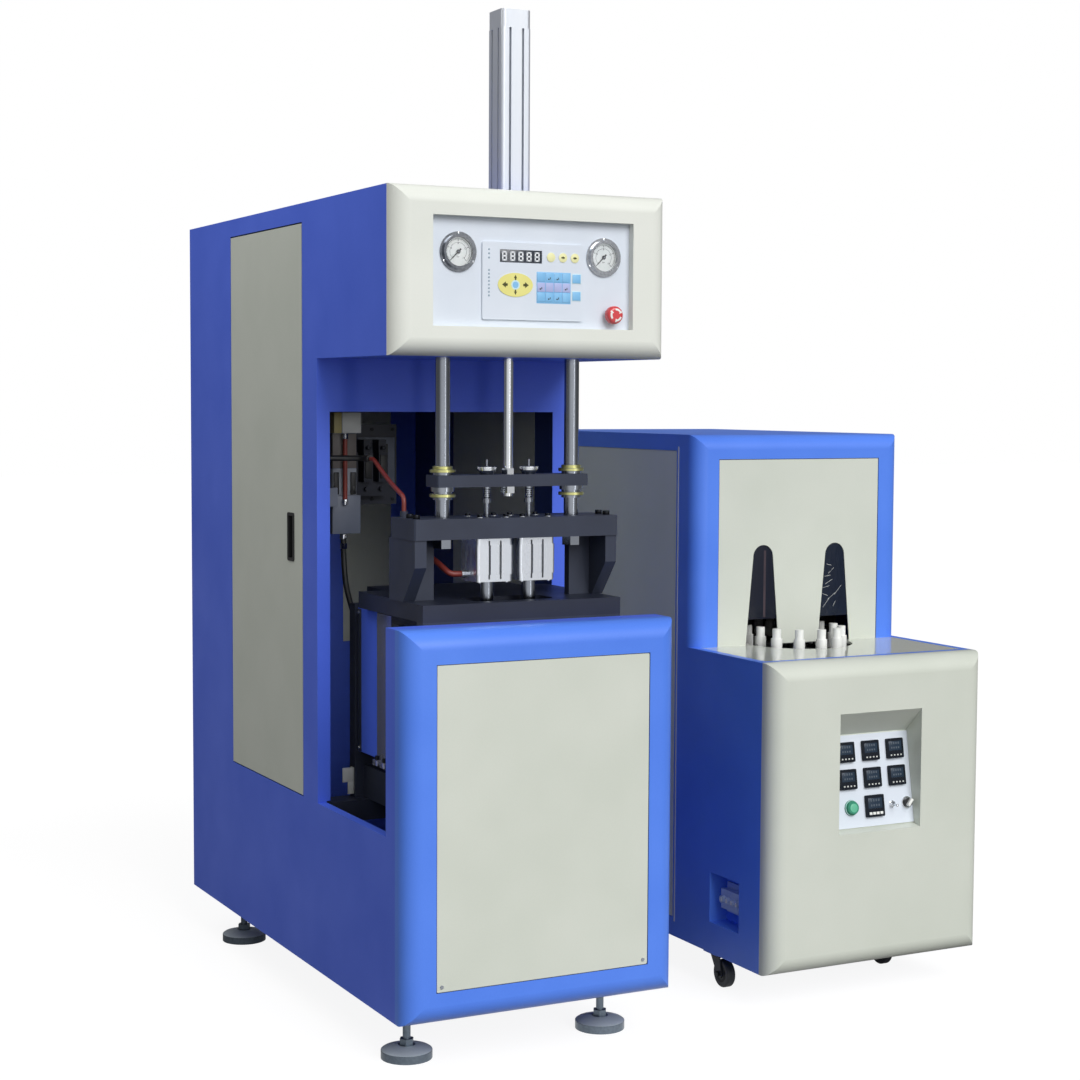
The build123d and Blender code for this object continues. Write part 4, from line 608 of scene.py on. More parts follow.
    def words(self, text: str, centre: Sequence[float], size: float, depth: float = 0.12) -> "Shape":
        """Add plain printed characters that face the operator.

        Args:
            text: Characters to print.
            centre: Their middle.
            size: Height of the type.
            depth: Thickness of the print.

        Returns:
            The shape itself.
        """
        curve = bpy.data.curves.new("print", "FONT")
        curve.body = text
        curve.size = size
        curve.align_x = "CENTER"
        curve.align_y = "CENTER"
        curve.extrude = depth / 2
        curve.resolution_u = TYPE_STEPS
        source = bpy.data.objects.new("print", curve)
        flat = bpy.data.meshes.new_from_object(source)
        first = len(self.mesh.verts)
        self.mesh.from_mesh(flat)
        self.mesh.verts.ensure_lookup_table()
        matrix = self.place @ Matrix.Translation(Vector(centre)) @ Matrix.Rotation(math.pi / 2, 4, "X")
        bmesh.ops.transform(self.mesh, matrix=matrix, verts=self.mesh.verts[first:])
        bpy.data.objects.remove(source)
        bpy.data.curves.remove(curve)
        bpy.data.meshes.remove(flat)
        return self

    def piece(self, name: str, finish: Finish, body: str = "root") -> bpy.types.Object:
        """Turn the shape into a finished piece that rides on a body.

        Args:
            name: The piece's name.
            finish: Its surface.
            body: CAD body that carries it.

        Returns:
            The new object.
        """
        bmesh.ops.recalc_face_normals(self.mesh, faces=self.mesh.faces[:])
        bmesh.ops.transform(self.mesh, matrix=self.station.matrix(), verts=self.mesh.verts[:])
        data = bpy.data.meshes.new(name)
        self.mesh.to_mesh(data)
        self.mesh.free()
        data.shade_smooth()
        data.set_sharp_from_angle(angle=math.radians(SHARP_DEGREES))
        return dress_piece(bpy.data.objects.new(name, data), finish, body)


def dress_piece(piece: bpy.types.Object, finish: Finish, body: str) -> bpy.types.Object:
    """Link a new piece, give it its finish and let it ride on its body.

    Args:
        piece: Object that isn't in the scene yet.
        finish: Its surface.
        body: CAD body that carries it.

    Returns:
        The same object.
    """
    bpy.context.scene.collection.objects.link(piece)
    piece.data.materials.append(finish.material())
    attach(piece, body)
    log.info("piece %s on %s in %s", piece.name, body, finish.title)
    return piece


def dress_nodes(nodes: dict[str, bpy.types.Object]) -> None:
    """Give every CAD node its finish.

    Args:
        nodes: The frame's CAD objects by name.
    """
    for name, node in nodes.items():
        finish = NODE_FINISH[name]
        node.data.materials.clear()
        node.data.materials.append(finish.material())
        log.info("node %s in %s", name, finish.title)


@dataclass
class SubAssembly:
    """A group of small pieces that are built together on one part of the machine."""

    station: Station

    def shape(self, place: Matrix | None = None) -> Shape:
        """Start an empty mesh, in the machine's frame or on a place of its own."""
        return Shape(self.station, place)


@dataclass
class ControlHead(SubAssembly):
    """Head panel: display, key films, indicator lamps, dial faces, flange screws and stop arrows.

    Places on the keypad count from its lower left corner, and depths from the film or the key's face.
    """

    film: float = 68.0
    keypad_left: float = 191.0
    keypad_foot: float = 1472.0
    key_face: float = 67.2
    skin: float = 0.3
    ink: float = 0.2
    print_front: float = 0.5
    window_at: Pair = (37.9, 111.3)
    window_size: Pair = (91.4, 24.4)
    window_depth: Pair = (1.1, 1.7)
    digit_depth: Pair = (0.7, 1.2)
    digits: int = 5
    digit_width: float = 11.0
    digit_height: float = 18.5
    digit_pitch: float = 17.8
    stroke: float = 3.0
    round_at: Pair = (149.0, 124.0)
    round_pitch: float = 26.5
    round_radius: float = 9.2
    round_marks: tuple[Pair, ...] = ((4.0, 1.3), (1.0, 2.6))
    pad_at: Pair = (71.0, 68.0)
    pad_half: Pair = (38.2, 23.2)
    pad_sides: int = 64
    pad_keys: tuple[tuple[str, float, float, Finish], ...] = (
        ("arrow_pad_ring", 0.1, 9.2, KEY_PALE), ("arrow_pad_centre", 0.3, 6.4, KEY_BLUE))
    arrow_across: tuple[Outline, ...] = (
        ((29.0, 0.0), (21.0, 6.0), (21.0, -6.0)), ((22.0, 2.4), (17.0, 2.4), (17.0, -2.4), (22.0, -2.4)))
    arrow_upright: tuple[Outline, ...] = (
        ((0.0, 19.5), (3.4, 13.0), (-3.4, 13.0)), ((1.5, 13.4), (1.5, 9.0), (-1.5, 9.0), (-1.5, 13.4)))
    block_at: Pair = (119.0, 37.0)
    block_count: tuple[int, int] = (4, 3)
    block_rim: float = 1.5
    block_lip: float = 3.5
    key_pitch: Pair = (18.6, 19.4)
    key_size: Pair = (17.0, 17.6)
    marked_keys: frozenset[tuple[int, int]] = frozenset({(2, 1), (2, 2), (1, 0), (1, 3), (0, 1), (0, 2)})
    key_marks: tuple[tuple[Pair, Pair], ...] = (((5.0, 4.0), (8.0, 6.5)), ((9.0, 5.0), (10.5, 9.0)))
    outer_x: float = 197.0
    outer_z: Pair = (41.0, 75.0)
    outer_size: Pair = (18.0, 17.0)
    outer_rim: float = 1.3
    lamp_x: float = 14.0
    lamp_rows: tuple[tuple[float, float, int], ...] = ((119.0, 8.0, 3), (46.0, 7.0, 8))
    lamp_size: Pair = (0.7, 2.1)
    gauge_x: Pair = (140.5, 459.5)
    gauge_z: float = 1600.0
    dial_y: float = 72.0
    dial_radius: float = 27.8
    dial_lift: float = 0.8
    dial_start: float = 225.0
    dial_sweep: float = 270.0
    dial_steps: int = 40
    major_every: int = 10
    major_tick: Triple = (22.6, 2.4, 0.5)
    minor_tick: Triple = (23.8, 1.2, 0.25)
    figure_radius: float = 16.2
    figure_size: float = 5.5
    unit_drop: float = 9.5
    unit_size: float = 4.5
    scale_rings: Pair = (17.6, 25.0)
    scale_depth: Pair = (-0.12, 0.05)
    flange_radius: float = 35.7
    flange_degrees: tuple[int, ...] = (90, 210, 330)
    flange_screw: Triple = (4.3, 1.4, 2.3)
    stop: Triple = (477.0, 47.5, 1486.0)
    stop_degrees: tuple[int, ...] = (20, 140, 260)
    arrow_sweep: Pair = (66.0, 14.0)
    arrow_band: Outline = ((9.0, -0.2), (11.2, 0.0), (13.0, 0.4), (13.0, 1.2), (9.0, 0.5))
    arrow_point: Outline = ((7.6, -0.2), (9.7, -0.2), (11.2, 0.0), (13.0, 0.4), (14.4, 0.95), (14.4, 1.8),
                            (7.6, 0.5))

    def build(self) -> None:
        """Build every piece of the head panel."""
        self.display()
        self.round_keys()
        self.arrow_pad()
        self.key_block()
        self.indicator_lamps()
        for side, x in zip(("left", "right"), self.gauge_x):
            self.dial(side, x)
        self.stop_arrows()

    def on_keypad(self, at: Pair) -> Pair:
        """Give the machine's X and Z of a place on the keypad."""
        return self.keypad_left + at[0], self.keypad_foot + at[1]

    def display(self) -> None:
        """Set the dark window and its row of lit digits in the keypad's recess."""
        left, foot = self.on_keypad(self.window_at)
        wide, high = self.window_size
        front, back = (self.film + depth for depth in self.window_depth)
        self.shape().slab((left, front, foot), (left + wide, back, foot + high), 0.1).piece(
            "display_window", WINDOW)
        glow = self.shape()
        front, back = (self.film + depth for depth in self.digit_depth)
        low = foot + (high - self.digit_height) / 2
        top = low + self.digit_height
        first = left + (wide - (self.digits - 1) * self.digit_pitch - self.digit_width) / 2
        for i in range(self.digits):
            x = first + i * self.digit_pitch
            for bar in (low, (low + top - self.stroke) / 2, top - self.stroke):
                glow.slab((x, front, bar), (x + self.digit_width, back, bar + self.stroke), 0.2)
            for post in (x, x + self.digit_width - self.stroke):
                glow.slab((post, front, low), (post + self.stroke, back, top), 0.2)
        glow.piece("display_digits", DIGIT)

    def round_keys(self) -> None:
        """Lay the three yellow round key films, two of them with a printed dash."""
        films, marks = self.shape(), self.shape()
        first, z = self.on_keypad(self.round_at)
        for i in range(3):
            x = first + self.round_pitch * i
            films.rod((x, self.key_face - self.skin, z), self.skin + 0.1, self.round_radius, Axis.Y, 40, 0.1)
            if i > 0:
                for half_x, half_z in self.round_marks:
                    self.mark(marks, (x - half_x, z - half_z), (x + half_x, z + half_z))
        films.piece("round_key_films", ROUND_YELLOW)
        marks.piece("round_key_marks", OLIVE_INK)

    def mark(self, marks: Shape, low: Pair, high: Pair) -> None:
        """Print a small bar on a key.

        Args:
            marks: Shape that takes the bar.
            low: Its lower left corner, as X and Z.
            high: Its upper right corner.
        """
        marks.slab((low[0], self.key_face - self.print_front, low[1]),
                   (high[0], self.key_face - self.ink, high[1]))

    def arrow_pad(self) -> None:
        """Lay the yellow oval with four arrows round a blue key."""
        x, z = self.on_keypad(self.pad_at)
        wide, high = self.pad_half
        angles = [math.tau * i / self.pad_sides for i in range(self.pad_sides)]
        oval = [(x + wide * math.cos(angle), z + high * math.sin(angle)) for angle in angles]
        self.shape().plate(oval, self.key_face - self.skin, self.skin + 0.1).piece(
            "arrow_pad_film", KEY_YELLOW)
        arrows = self.shape()
        front = self.key_face - self.skin - 0.15
        for side in (-1, 1):
            for outline in self.arrow_across:
                arrows.plate([(x + side * a, z + b) for a, b in outline], front, self.ink)
            for outline in self.arrow_upright:
                arrows.plate([(x + a, z + side * b) for a, b in outline], front, self.ink)
        arrows.piece("arrow_pad_arrows", OLIVE_INK)
        for name, out, radius, finish in self.pad_keys:
            self.shape().rod((x, front - out, z), self.skin, radius, Axis.Y, 40).piece(name, finish)

    def key_block(self) -> None:
        """Lay the blue key films, the lilac middle row and the two outer keys with their marks."""
        left, foot = self.on_keypad(self.block_at)
        columns, rows = self.block_count
        step_x, step_z = self.key_pitch
        wide, high = self.key_size
        rim = self.block_rim
        self.shape().slab(
            (left - rim, self.film - 0.2, foot - self.block_lip),
            (left + (columns - 1) * step_x + wide + rim, self.film + 0.1,
             foot + (rows - 1) * step_z + high + rim), 0.1).piece("key_block_ground", KEY_BLUE)
        films, marks, rims = (self.shape(), self.shape()), self.shape(), self.shape()
        front, back = self.key_face - self.skin, self.key_face + 0.1
        for column in range(columns):
            for row in range(rows):
                x, z = left + step_x * column, foot + step_z * row
                films[row % 2].slab((x, front, z), (x + wide, back, z + high), 0.12)
                if (row, column) in self.marked_keys:
                    for low, top in self.key_marks:
                        self.mark(marks, (x + low[0], z + low[1]), (x + top[0], z + top[1]))
        wide, high = self.outer_size
        rim = self.outer_rim
        for rise in self.outer_z:
            x, z = self.on_keypad((self.outer_x, rise))
            rims.slab((x - rim, self.film - 0.4, z - rim), (x + wide + rim, self.film + 0.1, z + high + rim),
                      0.1)
            films[0].slab((x, front, z), (x + wide, back, z + high), 0.12)
        rims.piece("outer_key_rims", KEY_PALE)
        films[0].piece("blue_key_films", KEY_BLUE)
        films[1].piece("lilac_key_films", KEY_LILAC)
        marks.piece("key_marks", INK)

    def indicator_lamps(self) -> None:
        """Set the small lamps in a column at the keypad's left."""
        lamps = self.shape()
        length, radius = self.lamp_size
        for first, step, count in self.lamp_rows:
            for i in range(count):
                x, z = self.on_keypad((self.lamp_x, first + step * i))
                lamps.rod((x, self.film - 0.5, z), length, radius, Axis.Y, 16, 0.3)
        lamps.piece("indicator_lamps", LAMP_LENS)

    def dial(self, side: str, x: float) -> None:
        """Build one gauge face with its scale, numbers and flange screws.

        Args:
            side: Which gauge it is.
            x: Middle of the gauge.
        """
        z = self.gauge_z
        face = self.dial_y - self.dial_lift
        self.shape().rod((x, face, z), 0.9, self.dial_radius, Axis.Y, 64).piece("dial_face_" + side, ENAMEL)
        scale = self.shape()
        front, back = self.scale_depth
        for i in range(self.dial_steps + 1):
            angle = math.radians(self.dial_start - self.dial_sweep * i / self.dial_steps)
            major = i % self.major_every == 0
            middle, long, wide = self.major_tick if major else self.minor_tick
            place = Vector((x + middle * math.cos(angle), face, z + middle * math.sin(angle)))
            scale.slab(place + Vector((-long, front, -wide)), place + Vector((long, back, wide)),
                       turn=Matrix.Rotation(-angle, 4, "Y"))
            if major:
                radius = self.figure_radius
                scale.words(str(4 * i // 10), (x + radius * math.cos(angle), face - back,
                                               z + radius * math.sin(angle)), self.figure_size)
        for radius in self.scale_rings:
            scale.lathe((x, face, z), [(radius - 0.25, front), (radius + 0.25, front), (radius + 0.25, back),
                                       (radius - 0.25, back)], Axis.Y, 64, self.dial_sweep, -self.dial_start)
        scale.words("bar", (x, face - back, z - self.unit_drop), self.unit_size)
        scale.piece("dial_scale_" + side, INK)
        screws = self.shape()
        rise, length, radius = self.flange_screw
        for degrees in self.flange_degrees:
            angle = math.radians(degrees)
            screws.rod((x + self.flange_radius * math.cos(angle), self.dial_y - rise,
                        z + self.flange_radius * math.sin(angle)), length, radius, Axis.Y, 20, 0.5)
        screws.piece("dial_flange_screws_" + side, CHROME)

    def stop_arrows(self) -> None:
        """Print three white turn arrows on the rounded front of the stop button."""
        arrows = self.shape()
        band, point = self.arrow_sweep
        for begin in self.stop_degrees:
            arrows.lathe(self.stop, self.arrow_band, Axis.Y, 12, band, begin)
            arrows.lathe(self.stop, self.arrow_point, Axis.Y, 3, point, begin + band)
        arrows.piece("stop_arrows", WHITE, "stop")


@dataclass
class PressTools(SubAssembly):
    """Bridge, carriage and blow cylinders: yellow rings, washers, socket screws, threads and caps.

    An outline is a turned section: radii and heights from where the piece stands.
    """

    column_x: Pair = (155.5, 444.5)
    nozzle_x: Pair = (252.8, 347.2)
    axis_y: float = 174.0
    bridge_top: float = 1082.0
    carriage_bottom: float = 1143.0
    carriage_top: float = 1167.0
    blow_bottom: float = 954.0
    upper_ring: Pair = (4.7, 11.6)
    lower_ring: Pair = (20.4, 13.4)
    ring_radii: Triple = (20.2, 25.2, 26.3)
    ring_chamfer: float = 1.1
    collar: Outline = ((15.3, 11.6), (20.3, 11.6), (20.3, 16.8), (19.5, 17.8), (15.3, 17.8))
    washer: Outline = ((5.1, 0.0), (9.6, 0.0), (9.6, 1.3), (9.0, 1.8), (5.1, 1.8))
    bolt_offset: float = 28.8
    bolt_head: Triple = (1.8, 4.4, 5.4)
    leg_bolt_x: Pair = (87.5, 512.5)
    leg_bolt_y: Pair = (148.5, 180.5)
    leg_bolt_head: Triple = (0.1, 8.4, 7.3)
    grip_count: int = 30
    grip_radius: float = 18.0
    grip_rise: float = 12.5
    grip_half: Triple = (0.7, 0.9, 2.3)
    threads: int = 5
    thread_start: float = 5.0
    thread_pitch: float = 4.0
    wheel: Outline = ((8.2, 0.3), (11.0, 0.3), (17.4, 7.2), (18.2, 8.2), (18.2, 15.2), (17.4, 15.8),
                      (8.2, 15.8))
    screw_corner: float = 30.0
    cap_bottom: float = 41.0
    groove_x: float = 12.7
    groove_half: float = 1.3
    groove_y: Pair = (40.2, 39.6)
    groove_ends: Pair = (5.0, 46.0)

    def build(self) -> None:
        """Build every small piece of the press."""
        self.yellow_rings()
        self.bridge_bolts()
        self.adjusters()
        self.cap_screws()

    def corners(self, x: float, offset: float) -> list[Pair]:
        """Give the four places round one blow cylinder's axis.

        Args:
            x: The axis.
            offset: Distance of the places along both directions.

        Returns:
            X and Y of each.
        """
        return [(a, b) for a in (x - offset, x + offset)
                for b in (self.axis_y - offset, self.axis_y + offset)]

    def yellow_rings(self) -> None:
        """Slip the yellow zinc rings over both carriage bushes."""
        rings = self.shape()
        inner, middle, outer = self.ring_radii
        edge = self.ring_chamfer
        top = self.carriage_top
        for x in self.column_x:
            for low, high in ((top + self.upper_ring[0], top + self.upper_ring[1]),
                              (self.carriage_bottom - self.lower_ring[0],
                               self.carriage_bottom - self.lower_ring[1])):
                rings.lathe((x, self.axis_y, 0), [(inner, low), (middle, low), (outer, low + edge),
                                                  (outer, high - edge), (middle, high), (inner, high)])
            rings.lathe((x, self.axis_y, 0), raised(self.collar, top))
        rings.piece("bush_yellow_rings", YELLOW_ZINC, "carriage")

    def bridge_bolts(self) -> None:
        """Set black socket screws on bright washers along the bridge, with painted shade in their sockets.
        """
        # Painted shade: the sockets piece is a dark hexagon in each screw's socket.
        washers, heads, sockets = self.shape(), self.shape(), self.shape()
        top = self.bridge_top
        rise, length, radius = self.bolt_head
        for nozzle in self.nozzle_x:
            for x, y in self.corners(nozzle, self.bolt_offset):
                washers.lathe((x, y, top), self.washer)
                heads.rod((x, y, top + rise), length, radius, Axis.Z, 28, 0.5)
                sockets.rod((x, y, top + rise + length), 0.1, 2.6, Axis.Z, HEXAGON)
        rise, length, radius = self.leg_bolt_head
        for x in self.leg_bolt_x:
            for y in self.leg_bolt_y:
                heads.rod((x, y, top + rise), length, radius, Axis.Z, 32, 0.8)
                sockets.rod((x, y, top + rise + length), 0.1, 3.6, Axis.Z, HEXAGON)
        washers.piece("bridge_washers", CHROME)
        heads.piece("bridge_socket_screws", BLACK_OXIDE)
        sockets.piece("bridge_screw_sockets_painted_shade", INK)

    def adjusters(self) -> None:
        """Cut grips round both adjuster wheels and threads on their necks."""
        grips = self.shape()
        half = Vector(self.grip_half)
        for x in self.nozzle_x:
            for i in range(self.grip_count):
                turn = Matrix.Rotation(math.tau * i / self.grip_count, 4, "Z")
                place = Vector((x, self.axis_y, self.carriage_top + self.grip_rise)) + turn @ Vector(
                    (self.grip_radius, 0, 0))
                grips.slab(place - half, place + half, 0.3, turn)
            for i in range(self.threads):
                low = self.carriage_bottom - self.thread_start - self.thread_pitch * i
                grips.lathe((x, self.axis_y, 0), [(6.6, low - 2.2), (7.2, low - 2.2), (8.2, low - 1.1),
                                                  (7.2, low), (6.6, low)], sides=32)
            grips.lathe((x, self.axis_y, 0), raised(self.wheel, self.carriage_top))
        grips.piece("adjuster_grips_and_threads", CHROME, "carriage")

    def cap_screws(self) -> None:
        """Set the tie screws at both ends of the blow cylinders, with painted shade in their sockets and in
        the cylinders' grooves.
        """
        screws, sockets = self.shape(), self.shape()
        for nozzle in self.nozzle_x:
            for x, y in self.corners(nozzle, self.screw_corner):
                screws.rod((x, y, self.blow_bottom - 2.6), 2.7, 4.2, Axis.Z, 24, 0.5)
                screws.rod((x, y, self.bridge_top - self.cap_bottom - 3.0), 3.1, 4.6, Axis.Z, 24)
                # Painted shade in the sockets and in the cylinders' grooves.
                sockets.rod((x, y, self.blow_bottom - 2.7), 0.1, 2.0, Axis.Z, HEXAGON)
            for x in (nozzle - self.groove_x, nozzle + self.groove_x):
                sockets.slab((x - self.groove_half, self.axis_y - self.groove_y[0],
                              self.blow_bottom + self.groove_ends[0]),
                             (x + self.groove_half, self.axis_y - self.groove_y[1],
                              self.bridge_top - self.groove_ends[1]))
        screws.piece("blow_cylinder_screws", CHROME)
        sockets.piece("blow_cylinder_sockets_and_grooves_painted_shade", INK)


@dataclass
class MouldClamp(SubAssembly):
    """Clamp seen through the bay's side: painted shade strips on the platen's edge, corner screws, mould
    lugs and a bracket.
    """

    half: float = 200.0
    middle: float = 300.0
    mould_bottom: float = 570.0
    mould_top: float = 877.0
    mould_front: float = 304.0
    platen_back: float = 484.0
    rear_plate: float = 500.0
    strip_width: float = 20.0
    screw_in: float = 9.0
    lug_at: Pair = (12.0, 50.0)
    lug_reach: Pair = (14.0, 10.0)
    lug_size: Pair = (26.0, 12.0)
    bracket_parts: tuple[tuple[Triple, Triple, float], ...] = (
        ((0.0, 0.0, 500.0), (27.0, 3.0, 531.0), 0.8), ((12.0, 0.0, 474.0), (27.0, 3.0, 501.0), 0.8),
        ((24.0, 0.0, 474.0), (26.0, 16.0, 531.0), 0.6))

    def build(self) -> None:
        """Build the painted shade strips, screws, lugs and bracket."""
        strips, screws, lugs, bolts = (self.shape() for _ in range(4))
        wide, high = self.lug_size
        for side in (-1, 1):
            face = self.middle + side * self.half
            inner, outer = sorted((face - side * 0.5, face + side * 0.8))
            # Painted shade: a dark strip where the platen's rounded rear edge falls into shadow.
            strips.slab((inner, self.platen_back - self.strip_width, self.mould_bottom + 2),
                        (outer, self.platen_back - 1, self.mould_top - 2), 0.3)
            for z in (self.mould_bottom + self.screw_in, self.mould_top - self.screw_in):
                start = min(face, face + side * 3.4)
                screws.rod((start, self.platen_back - self.strip_width / 2, z), 3.4, 4.0, Axis.X, 24, 0.7)
            low, top = sorted((face - side * self.lug_reach[0], face + side * self.lug_reach[1]))
            for y in (self.mould_front + at for at in self.lug_at):
                lugs.slab((low, y, self.mould_bottom - high), (top, y + wide, self.mould_bottom - 0.1), 1.2)
                bolts.rod((face + side * 5, y + wide / 2, self.mould_bottom - 0.2), 9.0, 4.0, Axis.Z, 24,
                          0.6)
        strips.piece("platen_edge_painted_shade", SLATE, "clamp")
        screws.piece("platen_corner_screws", CHROME, "clamp")
        lugs.piece("mould_lugs", MOULD, "clamp")
        bolts.piece("mould_lug_screws", BLACK_OXIDE, "clamp")
        bracket = self.shape(Matrix.Translation((self.middle - self.half - 26, self.rear_plate + 6, 0)))
        for part in self.bracket_parts:
            bracket.slab(*part)
        bracket.piece("switch_bracket", PALE)


@dataclass
class CabinetInside(SubAssembly):
    """What the service opening shows: filter blocks, clips, tube and valve fittings; and the rear panel."""

    left: float = 77.0
    right: float = 139.0
    front: float = 560.0
    back: float = 610.0
    box_bottom: float = 1028.0
    box_top: float = 1110.0
    body_split: float = 1168.0
    head_bottom: float = 1243.0
    head_top: float = 1288.0
    head_split: float = 18.0
    grow: float = 0.4
    tube_radius: float = 5.0
    foot_at: Pair = (31.0, 25.0)
    back_wall: float = 1318.0
    panel_x: Pair = (396.0, 528.0)
    panel_z: Pair = (700.0, 1600.0)
    panel_layers: tuple[Triple, ...] = ((-5.4, -3.05, 0.8), (0.05, 1.6, 0.6))
    panel_screw_in: float = 10.0
    panel_screw_z: tuple[float, ...] = (710.0, 1000.0, 1300.0, 1590.0)
    coil_x: float = 131.0
    coil_pitch: float = 36.0
    coils: int = 4
    plate_low: Triple = (205.0, 742.6, 1124.0)
    plate_high: Triple = (295.0, 745.2, 1231.0)
    slots: tuple[Triple, ...] = ((226.0, 1190.0, 1216.0), (270.0, 1190.0, 1216.0), (226.0, 1126.0, 1160.0))
    plate_screw_x: Pair = (240.0, 290.0)
    plate_screw_z: Pair = (1092.0, 1248.0)

    def build(self) -> None:
        """Build the filter's blocks, the valve bank's small pieces and the rear panel."""
        self.filter_blocks()
        self.filter_fittings()
        self.valve_details()
        self.rear_panel()

    def rear_panel(self) -> None:
        """Screw the cream service panel over the opening of the cabinet's back wall."""
        panel = self.shape()
        left, right = self.panel_x
        for front, back, edge in self.panel_layers:
            panel.slab((left, self.back_wall + front, self.panel_z[0]),
                       (right, self.back_wall + back, self.panel_z[1]), edge)
        panel.piece("rear_service_panel", CREAM)
        screws = self.shape()
        for x in (left + self.panel_screw_in, right - self.panel_screw_in):
            for z in self.panel_screw_z:
                screws.rod((x, self.back_wall + 1.2, z), 2.4, 5.0, Axis.Y, 20, 0.9)
        screws.piece("rear_panel_screws", BLACK_OXIDE)

    def filter_blocks(self) -> None:
        """Dress the filter: grey box, pale body with black clips, brown sleeve and two-tone head."""
        left, right, grow = self.left - self.grow, self.right + self.grow, self.grow
        split = self.left + self.head_split
        top = self.head_top + grow
        body = right - 8
        for name, finish, low_x, high_x, inset, low, high, edge in (
                ("filter_box", BLUE_GREY, left - 2, right, 4, self.box_bottom - grow, self.box_top, 2.0),
                ("filter_body", GREY, left, body, 8, self.box_top, self.body_split, 1.5),
                ("filter_sleeve", TAUPE, left, body, 8, self.body_split, self.head_bottom, 1.5),
                ("filter_head_side", KHAKI, left, split, 0, self.head_bottom, top, 1.5),
                ("filter_head", PALE, split, right, 0, self.head_bottom, top, 2.0)):
            self.shape().slab((low_x, self.front + inset - grow, low),
                              (high_x, self.back - inset + grow, high), edge).piece(name, finish)
        clips = self.shape()
        for x in (self.left + 1, self.right - 22):
            clips.slab((x, self.front + 3, self.box_top + 2),
                       (x + 12, self.front + 9, self.body_split - 8), 1.5)
            clips.slab((x + 2, self.front + 1, self.box_top + 8),
                       (x + 10, self.front + 4, self.box_top + 20), 1.0)
        clips.piece("filter_clips", BLACK)

    def filter_fittings(self) -> None:
        """Run the red tube up the filter between its nuts, and hang the foot's nuts under the box."""
        middle = (self.left + self.right) / 2 - 6
        front, box, head = self.front, self.box_top, self.head_bottom
        self.shape().rod((middle, front, box - 12), head - box + 4, self.tube_radius, Axis.Z, 24).piece(
            "filter_red_tube", RED_TUBE)
        ends = self.shape()
        ends.rod((middle, front, head - 12), 12.5, 6.4, Axis.Z, HEXAGON, 0.6)
        ends.rod((middle, front, box - 20), 12.0, 6.4, Axis.Z, 24, 1.0)
        ends.rod((middle, front - 2, box - 15), 8.0, 4.0, Axis.Y, 24, 0.6)
        x, y = self.left + self.foot_at[0], front + self.foot_at[1]
        ends.rod((x, y, self.box_bottom - 13.0), 12.0, 8.6, Axis.Z, 24, 1.0)
        ends.rod((x, y, self.box_bottom - 34.0), 12.0, 7.6, Axis.Z, HEXAGON, 0.8)
        ends.piece("filter_fittings", CHROME)

    def valve_details(self) -> None:
        """Add the coils' plugs and nuts, and the plate with its slots and screws, to the valve bank."""
        plugs, nuts = self.shape(), self.shape()
        for i in range(self.coils):
            x = self.coil_x + self.coil_pitch * i
            plugs.slab((x + 3, 698.5, 1140), (x + 19, 701.5, 1192), 1.0)
            nuts.rod((x + 11, 696.0, 1208), 6.0, 5.0, Axis.Y, HEXAGON, 0.5)
        plugs.piece("valve_coil_plugs", BLACK)
        nuts.piece("valve_coil_nuts", BLACK_OXIDE)
        self.shape().slab(self.plate_low, self.plate_high, 0.8).piece("valve_face_plate", BLUE_GREY)
        face = self.plate_low[1]
        slots, screws = self.shape(), self.shape()
        for x, low, high in self.slots:
            # Painted shade: a black slab in each slot.
            slots.slab((x, face - 0.4, low), (x + 8.0, face + 0.4, high), 0.2)
        slots.piece("valve_face_slots_painted_shade", BLACK)
        for x in self.plate_screw_x:
            for z in self.plate_screw_z:
                screws.rod((x, face, z), 2.5, 4.0, Axis.Y, 20, 0.6)
        screws.piece("valve_plate_screws", BLACK_OXIDE)


